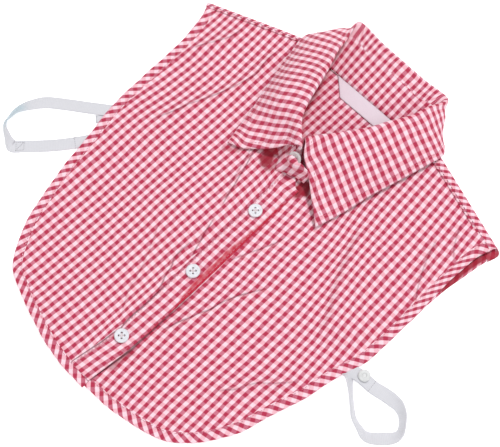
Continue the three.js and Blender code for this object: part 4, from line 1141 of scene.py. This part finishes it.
def stand_shell():
    """The band from the neck seam up into the collar's fold, puckered where its ends lap."""
    top = seam + (stand_side - seam) * (STAND_SHARE + 0.1)
    ends = {side: np.array(rows, float) for side, rows in STAND_ENDS.items()}
    steps = STATION_STEPS // 2
    lower, upper = seam[::steps] - (top - seam)[::steps] * 0.05, top[::steps]
    low = smooth_curve(np.vstack([ends["right"][:, 0], lower, ends["left"][:, 0]]), steps)
    high = smooth_curve(np.vstack([ends["right"][:, 1], upper, ends["left"][:, 1]]), steps)
    share = np.linspace(0, 1, STAND_ROWS)
    grid = low[:, None] * (1 - share[:, None]) + high[:, None] * share[:, None]
    run = run_along((low + high) / 2)
    rise = np.linalg.norm(np.diff(grid, axis=1), axis=2)
    rise = np.c_[np.zeros(len(rise)), np.cumsum(rise, axis=1)]
    inside = inwards(grid)
    uneven = 0.25 * np.sin(run / 6.1)[:, None] * np.sin(share * math.pi)
    grid = grid + inside * uneven[..., None]
    for place, reach, move in PUCKERS:
        grid = grid + np.array(move) * np.exp(-((grid - place) ** 2).sum(axis=2) / reach**2)[..., None]
    lapped = np.minimum(1, 1.2 * np.exp(-run / 16) + 1.2 * np.exp(-(run[-1] - run) / 16))[:, None]
    swing = lapped * np.sin(run * 2 * math.pi / RUFFLE_REPEAT)[:, None]
    grid = grid - inside * (0.9 * swing * (1 - share * 0.7))[..., None]
    grid[..., 1] += 0.8 * swing * (1 - share) ** 2
    between_ends = ease(0, 20, np.minimum(run, run[-1] - run))
    tucked = ease(0.86, 1.0, share)[:, None] * between_ends[:, None, None]
    grid = grid - inside * tucked * 0.9
    back = (run - run[len(run) // 2])[:, None]
    u = back + 2.4 + 0.01 * back + 0 * rise
    v = 148.4 + rise + 2.9 + 0.085 * np.clip(back, -50, 50)
    return cloth_shell(grid, np.dstack([u, v]), 1.2)


def collar_shade(points):
    """Painted deep red shade where the fold turns at the wearer's right, and in the hollow under the
    lapped ends.
    """
    value = 0.8 * near(points, FOLD_SHADE, 2.2)
    for place, reach in LAP_HOLLOWS:
        value = np.maximum(value, 0.55 * np.exp(-((points - place) ** 2).sum(axis=1) / reach**2))
    return painted_shade_values(value, 0.3)


stand = made("stand_band", [stand_shell()], shirting, collar_shade)
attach(stand, "root")
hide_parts("collar_stand")


# The collar
# Two layers of gingham with a stiffener between, turned and topstitched a little way in from the edge. It
# folds over the stand in a soft roll and spreads to two points on the fronts.

# columns of the leaf's grid on each side of the fold, and steps between the eight places of each row's path
INSIDE_COLUMNS = 14
OUTSIDE_COLUMNS = 54
LEAF_STEPS = 10
LEAF_THICK = 1.3
LEAF_DENTS = [
    # station and depth of the middle, reach of each, how far the cloth moves there
    ((0, 0.24), (1.5, 0.14), (0.0, 2.6, -0.5)),
    ((0, 0.80), (1.2, 0.12), (0.0, -2.4, 0.0)),
    ((22, 0.20), (1.4, 0.16), (-2.1, -2.1, 0.0)),
]
# how far the checks drift on each half, by depth (0 at the fold, 1 at the edge) and at steps along the collar
# from its point on the wearer's right and from its back corner on their left
LEAF_GRAIN = {
    "right": {
        "warp": {
            0.0: (-0.8, -9.7, -14.8, -13.3, -16.7, -25.1, -35.6),
            0.25: (-5.6, -10.0, -13.9, -14.9, -16.9, -24.3, -34.3),
            0.5: (-9.5, -10.7, -12.2, -14.0, -15.9, -22.6, -32.0),
            0.75: (-13.6, -13.4, -13.6, -13.8, -15.8, -22.9, -30.9),
            1.0: (-21.6, -17.9, -15.3, -15.6, -16.8, -24.8, -30.8),
        },
        "weft": {
            0.0: (-26.6, -15.5, -7.9, -7.2, -2.9, -3.2, -7.0),
            0.25: (-24.0, -15.0, -8.9, -7.5, -3.5, -4.9, -8.8),
            0.5: (-21.4, -14.6, -9.9, -7.7, -4.1, -6.6, -10.6),
            0.75: (-18.1, -14.0, -10.9, -7.3, -4.7, -8.0, -9.5),
            1.0: (-16.2, -14.0, -12.6, -7.5, -6.1, -9.0, -9.0),
        },
    },
    "left": {
        "warp": {
            0.0: (2.7, 0.5, -2.1, -2.5, -4.2, -10.6, -21.3),
            0.25: (0.2, -1.0, -3.4, -5.0, -6.9, -11.2, -17.6),
            0.5: (-2.2, -3.9, -5.8, -8.0, -9.8, -11.4, -13.0),
            0.75: (-2.5, -5.4, -8.2, -11.5, -13.2, -11.4, -9.0),
            1.0: (-1.7, -5.8, -10.7, -15.1, -16.0, -10.6, -3.6),
        },
        "weft": {
            0.0: (10.5, 10.8, 8.6, 3.4, -3.5, -9.6, -14.0),
            0.25: (4.2, 6.5, 6.6, 2.6, -2.7, -7.3, -10.2),
            0.5: (-0.2, 2.6, 4.6, 2.2, -1.6, -4.7, -6.8),
            0.75: (-2.7, -0.7, 2.3, 1.2, -0.7, -2.1, -2.9),
            1.0: (-4.3, -0.7, 1.7, 0.8, -0.1, 0.6, 1.5),
        },
    },
}
LEAF_GRAIN_STEP = 25
LEAF_DEPTH = 50


def leaf_cloth(half, along, depth):
    """Cloth coordinates on one half of the leaf's outside."""
    grain = LEAF_GRAIN[half]
    warp = drift_at(grain["warp"], 0, LEAF_GRAIN_STEP, along, depth)
    weft = drift_at(grain["weft"], 0, LEAF_GRAIN_STEP, along, depth)
    return along + warp, depth * LEAF_DEPTH + weft


def leaf_grid():
    """The leaf's wall from inside the stand over the fold to its edge, row by row along the collar."""
    inside, outside = [], []
    for k in range(len(seam)):
        back_of_fold = fold[k] - over[k] * 0.9
        path = smooth_curve([
            seam[k] + (stand_side[k] - seam[k]) * (STAND_SHARE - 0.06), stand_side[k],
            back_of_fold - outwards[k] * FOLD_ROLL * 0.32, fold[k],
            back_of_fold + outwards[k] * FOLD_ROLL * 0.32, leaf_side[k],
            leaf_middle[k], leaf_edge[k]], LEAF_STEPS)
        inside.append(resampled(path[:3 * LEAF_STEPS + 1], INSIDE_COLUMNS)[:-1])
        outside.append(resampled(path[3 * LEAF_STEPS:], OUTSIDE_COLUMNS))
    inside, outside = np.array(inside), np.array(outside)
    station = (np.arange(len(seam)) / STATION_STEPS)[:, None]
    depth = np.linspace(0, 1, OUTSIDE_COLUMNS)[None]
    for (at, deep), (reach, deep_reach), move in LEAF_DENTS:
        share = np.exp(-(((station - at) / reach) ** 2) - ((depth - deep) / deep_reach) ** 2)
        outside = outside + share[..., None] * np.array(move)
    sunk = ease(0.0, 0.11, np.linspace(0, 1, INSIDE_COLUMNS)[:-1])[None, :, None]
    inside = inside - inwards(inside) * 0.9 * (1 - sunk)
    return inside, outside


def leaf_shell(inside, outside):
    """The leaf as a closed wall with its checks."""
    grid = np.concatenate([inside, outside], axis=1)
    grid[..., 2] = np.maximum(grid[..., 2], 0.7)
    middle, corner = 11 * STATION_STEPS, 13 * STATION_STEPS
    station = np.arange(len(seam)) / STATION_STEPS
    depth = np.linspace(0, 1, OUTSIDE_COLUMNS)[None] + 0 * station[:, None]
    run = run_along(outside[:, OUTSIDE_COLUMNS // 2])[:, None] + 0 * depth
    back = run_along(fold)
    back = back - back[middle]

    # the checks outside, in one piece round the collar's back, where they keep to whole repeats
    right_u, right_v = leaf_cloth("right", run, depth)
    left_u, left_v = leaf_cloth("left", run - run[corner], depth)
    to_left = ease(10.5, 12.5, station)[:, None]
    repeats = round((right_u[middle, 0] + (back[corner] - back[middle]) - left_u[corner, 0]) / WARP_REPEAT)
    u = right_u + to_left * (left_u + WARP_REPEAT * repeats - right_u)
    v = right_v + to_left * (left_v - right_v)

    # the checks inside, which run on over the fold, and straight down at the back
    reach = np.linalg.norm(np.diff(grid[:, :INSIDE_COLUMNS], axis=1), axis=2)
    reach = np.cumsum(reach[:, ::-1], axis=1)[:, ::-1]
    inner_u = u[:, :1] + 0 * reach
    inner_v = v[:, :1] - reach
    at_back = ease(8.2, 9.4, station)[:, None] * ease(13.8, 12.6, station)[:, None]
    straight_u = back[:, None] + 1.1 + 2.0 * ease(-12, -2, back[:, None]) + 0 * reach
    straight_u = straight_u + WARP_REPEAT * round((u[middle, 0] - straight_u[middle, 0]) / WARP_REPEAT)
    straight_v = 191 - 2.7 - reach
    inner_u = inner_u + at_back * (straight_u - inner_u)
    inner_v = inner_v + at_back * (straight_v - inner_v)
    return cloth_shell(grid, np.dstack([np.c_[inner_u, u], np.c_[inner_v, v]]), LEAF_THICK)


leaf_inside, leaf_outside = leaf_grid()
leaf = made("collar_fall", [leaf_shell(leaf_inside, leaf_outside)], shirting, collar_shade)
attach(leaf, "root")
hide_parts("collar_leaf")


# The neck label
# A blank label of woven satin, caught in the back neck seam. Its lower corners are turned under, so that it
# narrows downwards, and it lies loose on the inside of the back.

LABEL_COLOUR = (0.74, 0.64, 0.71)
LABEL_SHADE = (0.66, 0.54, 0.62)


def label_shell():
    """A shallow trapezium of ribbon, lifted a little at its lower edge."""
    share = np.linspace(0, 1, 60)[None]
    down = np.linspace(0, 1, 18)[:, None]
    left = -18 - 16 * down
    right = 23 + 15 * down
    x = left + (right - left) * share
    y = 132.5 + 14.6 * down + 0 * share
    z = 1.75 + 0.25 * np.sin(x / 7) * (1 - down) + 0.2 * down
    return cloth_shell(np.dstack([x, y, z]), np.dstack([x, y]), 0.5)


def woven_ribbon(name, colour, darker, rib, pick, depth, roughness, sheen, shade_colour=None):
    """Fine woven tape: ribs across the width, picks along the length."""
    material, tree, shader = new_material(name, {"Roughness": roughness, "Sheen Weight": sheen})
    cloth = add_node(tree, "ShaderNodeUVMap", uv_map="cloth").outputs[0]
    across, along = add_node(tree, "ShaderNodeSeparateXYZ", {0: cloth}).outputs[:2]
    ribs = wave(tree, "SINE", across, 2 * math.pi / rib)
    picks = wave(tree, "SINE", along, 2 * math.pi / pick)
    weave = maths(tree, "ADD", ribs, maths(tree, "MULTIPLY", picks, 0.6))
    uneven = noise(tree, cloth, scale=0.25, detail=3.0).outputs[0]
    height = maths(tree, "ADD", weave, maths(tree, "MULTIPLY", uneven, 1.5))
    # painted shade: the tape is darker where its weave and its unevenness lie low
    base = mixed(tree, ranged(tree, height, -1.0, 2.2), (*darker, 1), (*colour, 1))
    # the cool painted shade where a strap stands on edge
    if shade_colour:
        base = mixed(tree, point_measure(tree, "deep")[0], base, (*shade_colour, 1))
    tree.links.new(base, shader.inputs["Base Color"])
    add_bump(tree, shader, height, depth)
    return material


satin = woven_ribbon(
    "label_satin", LABEL_COLOUR, LABEL_SHADE, rib=0.5, pick=0.9, depth=0.00004, roughness=0.42, sheen=0.2)
label = made("label_ribbon", [label_shell()], satin)
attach(label, "root")
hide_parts("neck_label")


# The elastic straps
# White woven elastic a centimetre wide, sewn into the side bindings. Each makes a flat loop that stands on
# edge where it turns.

STRAP_WIDTH = 10.5
STRAP_THICK = 1.0
STRAP_COLUMNS = 13
STRAPS = {
    # by the wearer's side
    "right": [
        # x, y, lean on edge in degrees, height of the lower edge
        (-138.3, -8.0, 0, 1.9), (-143.3, -10.2, 0, 2.0), (-149.6, -14.7, 0, 1.8),
        (-160.9, -22.6, 0, 1.0), (-172.3, -30.4, 0, 0.4), (-182.1, -37.5, 0, 0.1),
        (-189.9, -44.0, 0, 0.1), (-195.3, -52.3, 10, 0.1), (-198.7, -60.0, 24, 0.1),
        (-200.0, -67.3, 40, 0.1), (-199.1, -74.6, 53, 0.1), (-197.9, -80.3, 62, 0.1),
        (-193.9, -84.2, 65, 0.1), (-187.1, -87.5, 56, 0.1), (-181.4, -89.9, 36, 0.1),
        (-177.0, -88.7, 8, 0.1), (-172.2, -83.3, 0, 0.1), (-163.1, -73.9, 0, 0.1),
        (-154.3, -64.0, 0, 0.1), (-147.2, -54.9, 0, 0.1), (-140.5, -45.5, 0, 0.1),
        (-134.9, -36.1, 0, 0.1),
    ],
    "left": [
        (138.4, -32.2, 0, 1.9), (146.3, -30.7, 0, 2.2), (154.2, -29.1, 0, 2.6), (165.4, -28.4, 0, 1.2),
        (175.0, -26.4, 12, 0.1), (183.1, -25.5, 26, 0.1), (190.8, -26.6, 50, 0.1),
        (197.0, -30.5, 64, 0.1), (201.4, -36.4, 66, 0.1), (202.7, -43.2, 44, 0.1),
        (199.3, -49.0, 25, 0.1), (193.6, -54.8, 25, 0.1), (187.5, -59.2, 34, 0.1),
        (178.7, -58.4, 55, 0.1), (171.3, -56.0, 62, 0.1), (165.4, -51.5, 66, 0.1),
        (158.2, -45.0, 66, 0.1), (150.3, -38.0, 56, 0.1), (144.3, -33.5, 15, 0.1),
        (138.2, -30.6, 0, 0.1),
    ],
}
# the end of the elastic that shows beside the wearer's right strap: its lower, upper, left and right edge
STRAP_TAIL = [
    ((-146, -27.5, 0.6), (-141, -22, 0.6)), ((-151.2, -22.8, 1.4), (-145.5, -17, 1.6)),
    ((-146, -27.5, 0.6), (-151.2, -22.8, 1.4)), ((-141, -22, 0.6), (-145.5, -17, 1.6)),
]
ELASTIC = (0.69, 0.69, 0.73)
ELASTIC_SHADE = (0.61, 0.61, 0.65)
# painted cool shade on the elastic where it stands on edge at the outer bend, and the line of that bend
COOL_PAINTED_SHADE = (0.40, 0.55, 0.62)
SHADED_BEND_LINE = [(-200, -64), (-200, -72), (-198.5, -80)]


def strap_surface(rows):
    """The middle of a strap as a grid, and the distance along it of each row."""
    line = smooth_curve(rows, 14)
    ahead = unit(np.gradient(line[:, :2], axis=0))
    lean = np.radians(np.maximum(line[:, 2], 0))
    half = STRAP_WIDTH / 2
    share = np.linspace(-1, 1, STRAP_COLUMNS)
    x = line[:, 0, None] - ahead[:, 1, None] * half * np.cos(lean)[:, None] * share
    y = line[:, 1, None] + ahead[:, 0, None] * half * np.cos(lean)[:, None] * share
    lift = np.maximum(line[:, 3], 0.05) + STRAP_THICK / 2 * np.cos(lean)
    z = lift[:, None] + (share + 1) * half * np.sin(lean)[:, None]
    return np.dstack([x, y, z]), run_along(line[:, :2])


def elastic_painted_shade(points):
    """How far the thin elastic is painted with a cool shade where it stands on edge at the outer bend."""
    return painted_shade_values(0.7 * near(points[:, :2], SHADED_BEND_LINE, 5.5))


elastic = woven_ribbon(
    "white_elastic", ELASTIC, ELASTIC_SHADE, rib=0.95, pick=1.3, depth=0.0001, roughness=0.75, sheen=0.1,
    shade_colour=COOL_PAINTED_SHADE)
strap_grids = {}
for wearer, rows in STRAPS.items():
    grid, run = strap_grids[wearer] = strap_surface(rows)
    across = np.linspace(-1, 1, STRAP_COLUMNS) * STRAP_WIDTH / 2
    shells = [cloth_shell(grid, np.dstack(np.broadcast_arrays(across, run[:, None])), STRAP_THICK)]
    if wearer == "right":
        tail = patch(*(np.linspace(start, end, 5) for start, end in STRAP_TAIL))
        shells.append(cloth_shell(tail, tail[..., :2], 0.8))
    strap = made(f"elastic_{wearer}", shells, elastic, elastic_painted_shade)
    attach(strap, "root")
    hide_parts(f"strap_{wearer}")


# The dimpled button of the strap
# A small milky button of clear plastic sewn near the end of the strap on the wearer's left, where the loop is
# let out or taken in.

milky = moulded("milky_plastic", (0.82, 0.83, 0.83), 0.25, clear=0.1)
for slot in bpy.data.objects["strap_button"].material_slots:
    slot.material = milky


# The stitching
# Single-needle machine stitches, about eight to the inch: along the bindings, the shoulder seams, both sides
# of the placket and a little way in from the collar's edge, with small boxes and bars of grey thread on the
# straps, where the stitches are shorter.

SHOULDER_THREAD = (0.30, 0.05, 0.09)
SEAM_THREAD = (0.66, 0.22, 0.31)
COLLAR_THREAD = (0.66, 0.26, 0.35)
GREY_THREAD = (0.34, 0.33, 0.35)
STRAP_SEAMS = [
    # the wearer's side, a place on the strap, and the line of stitches there, along and across
    ("right", (-144.5, -52), [(0, -4.8), (0.3, 4.8)]),
    ("right", (-144.5, -52), [(-0.9, 4.2), (0.9, 4.6)]),
    ("right", (-174.5, -86), [(-3, -3.4), (-3, 3.6), (3.4, 3.6), (3.4, -3.4), (-3, -3.4)]),
    ("right", (-174.5, -86), [(-3, -3.4), (3.4, 3.6)]),
    ("left", (165, -28.5), [(0, -4.6), (0, 4.6)]),
]


def stitching_nodes():
    """A tree that lays one short bead of thread at even steps along each line of a mesh."""
    tree = bpy.data.node_groups.new("machine_stitches", "GeometryNodeTree")
    tree.interface.new_socket("Geometry", in_out="INPUT", socket_type="NodeSocketGeometry")
    for label, value in (("Step", 0.0032), ("Stitch length", 0.0025), ("Thread width", 0.0005)):
        tree.interface.new_socket(label, in_out="INPUT", socket_type="NodeSocketFloat").default_value = value
    tree.interface.new_socket("Thread", in_out="INPUT", socket_type="NodeSocketMaterial")
    tree.interface.new_socket("Geometry", in_out="OUTPUT", socket_type="NodeSocketGeometry")
    given = add_node(tree, "NodeGroupInput").outputs
    lines = add_node(tree, "GeometryNodeMeshToCurve", {"Mesh": given["Geometry"]}).outputs[0]
    steps = add_node(tree, "GeometryNodeResampleCurve", {
        "Curve": lines, "Length": given["Step"]}, mode="LENGTH")
    ahead = add_node(tree, "GeometryNodeInputTangent").outputs[0]
    turned = add_node(tree, "FunctionNodeAlignRotationToVector", {"Vector": ahead}, axis="X")
    bead = add_node(tree, "GeometryNodeMeshUVSphere", {"Segments": 6, "Rings": 4, "Radius": 0.5}).outputs[0]
    size = add_node(tree, "ShaderNodeCombineXYZ", {
        "X": given["Stitch length"], "Y": given["Thread width"], "Z": given["Thread width"]}).outputs[0]
    bead = add_node(tree, "GeometryNodeTransform", {"Geometry": bead, "Scale": size}).outputs[0]
    laid = add_node(tree, "GeometryNodeInstanceOnPoints", {
        "Points": steps.outputs[0], "Instance": bead, "Rotation": turned.outputs[0]}).outputs[0]
    real = add_node(tree, "GeometryNodeRealizeInstances", {"Geometry": laid}).outputs[0]
    thread = add_node(tree, "GeometryNodeSetMaterial", {"Geometry": real, "Material": given["Thread"]})
    add_node(tree, "NodeGroupOutput", {"Geometry": thread.outputs[0]})
    return tree


def stitched(name, lines, thread, step=3.2, length=2.5, width=0.42):
    """Stitches along lines on the bib, as one plain mesh."""
    corners, edges = [], []
    for line in lines:
        start = len(corners)
        corners += placed(line).tolist()
        edges += [(k, k + 1) for k in range(start, len(corners) - 1)]
    mesh = bpy.data.meshes.new(name)
    mesh.from_pydata(corners, edges, [])
    seams = bpy.data.objects.new(name, mesh)
    scene.collection.objects.link(seams)
    modifier = seams.modifiers.new("stitches", "NODES")
    modifier.node_group = stitch_tree
    sizes = {
        "Step": step / 1000, "Stitch length": length / 1000, "Thread width": width / 1000, "Thread": thread}
    for item in stitch_tree.interface.items_tree:
        if item.in_out == "INPUT" and item.name in sizes:
            modifier[item.identifier] = sizes[item.name]
    finished = bpy.data.meshes.new_from_object(seams.evaluated_get(bpy.context.evaluated_depsgraph_get()))
    seams.modifiers.clear()
    seams.data = finished
    finished.name = name
    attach(seams, "root")
    return seams


def shoulder_stitches(side):
    """The line where the back's turned cloth is sewn to the front, close to its free edge."""
    line = even_curve(SHOULDERS[side]["line"], 60)
    line = moved_left(line, OUTWARDS[side] * (SHOULDERS[side]["turn"] - 1.1))
    return np.c_[line, np.full(len(line), 5.2)][2:-3]


def beyond(row, distance):
    """The place at one distance along a row of places."""
    run = run_along(row)
    return [np.interp(distance, run, row[:, k]) for k in range(3)]


def collar_topstitch(outside, in_from_edge=5.2):
    """A line on the collar's outer face, at one distance in from its front edges and its long edge."""
    across = unit(np.cross(np.gradient(outside, axis=0), np.gradient(outside, axis=1)))
    below_neck = np.array([0, 110, -20])
    across *= np.sign((across * (outside - below_neck)).sum(axis=2, keepdims=True))
    surface = outside + across * (LEAF_THICK / 2 + 0.07)
    long_edge = np.array([beyond(row[::-1], in_from_edge) for row in surface])
    columns = range(4, surface.shape[1], 2)
    ends = []
    for rows in (surface, surface[::-1]):
        front_edge = np.array([beyond(rows[:40, column], in_from_edge) for column in columns])
        away = np.linalg.norm(long_edge[None] - front_edge[:, None], axis=2)
        turn = int(np.argmin(away.min(axis=1)))
        ends.append((front_edge[:turn], int(np.argmin(away[turn]))))
    (first, start), (last, end) = ends
    return np.vstack([first, long_edge[start + 1:end], last[::-1]])


def on_strap(wearer, run, across):
    """A place on the upper face of a strap, from its distance along and across."""
    grid, along = strap_grids[wearer]
    row = int(np.argmin(np.abs(along - run)))
    column = (across + STRAP_WIDTH / 2) / STRAP_WIDTH * (STRAP_COLUMNS - 1)
    low = int(np.clip(column, 0, STRAP_COLUMNS - 2))
    point = grid[row, low] + (grid[row, low + 1] - grid[row, low]) * (column - low)
    middle = STRAP_COLUMNS // 2
    ahead = unit(grid[min(row + 1, len(grid) - 1), middle] - grid[max(row - 1, 0), middle])
    face = np.cross(ahead, unit(grid[row, -1] - grid[row, 0]))
    return point + face * np.sign(face[2]) * (STRAP_THICK / 2 + 0.1)


def strap_stitches(wearer, place, outline):
    """A line of places on a strap about one point, from distances along and across."""
    grid, along = strap_grids[wearer]
    middle = grid[:, STRAP_COLUMNS // 2]
    run = along[int(np.argmin(np.hypot(middle[:, 0] - place[0], middle[:, 1] - place[1])))]
    return np.array([on_strap(wearer, run + ahead, across) for ahead, across in resampled(outline, 24)])


stitch_tree = stitching_nodes()
on_placket = PLACKET_THICK / 2 + 0.13
placket_seams = [
    placket_grid[2:-6, 4] + [0, 0, on_placket],
    placket_grid[2:-12, 3] + [0.1, 0, on_placket + 0.02],
    placket_grid[2:-14, 28] + [0, 0, on_placket],
]
rose_thread = thread_material("rose_thread", SEAM_THREAD)
body_seams = stitched("body_stitches", binding_seams + placket_seams, rose_thread)

dark_thread = thread_material("dark_rose_thread", SHOULDER_THREAD)
shoulder_lines = [shoulder_stitches(side) for side in OUTWARDS]
shoulder_seams = stitched("shoulder_stitches", shoulder_lines, dark_thread, width=0.6)

pink_thread = thread_material("pink_thread", COLLAR_THREAD)
collar_seam = stitched("collar_stitches", [collar_topstitch(leaf_outside)], pink_thread)

grey_thread = thread_material("grey_thread", GREY_THREAD)
strap_lines = [strap_stitches(*line) for line in STRAP_SEAMS]
strap_seams = stitched("strap_stitches", strap_lines, grey_thread, step=1.7, length=1.4, width=0.35)
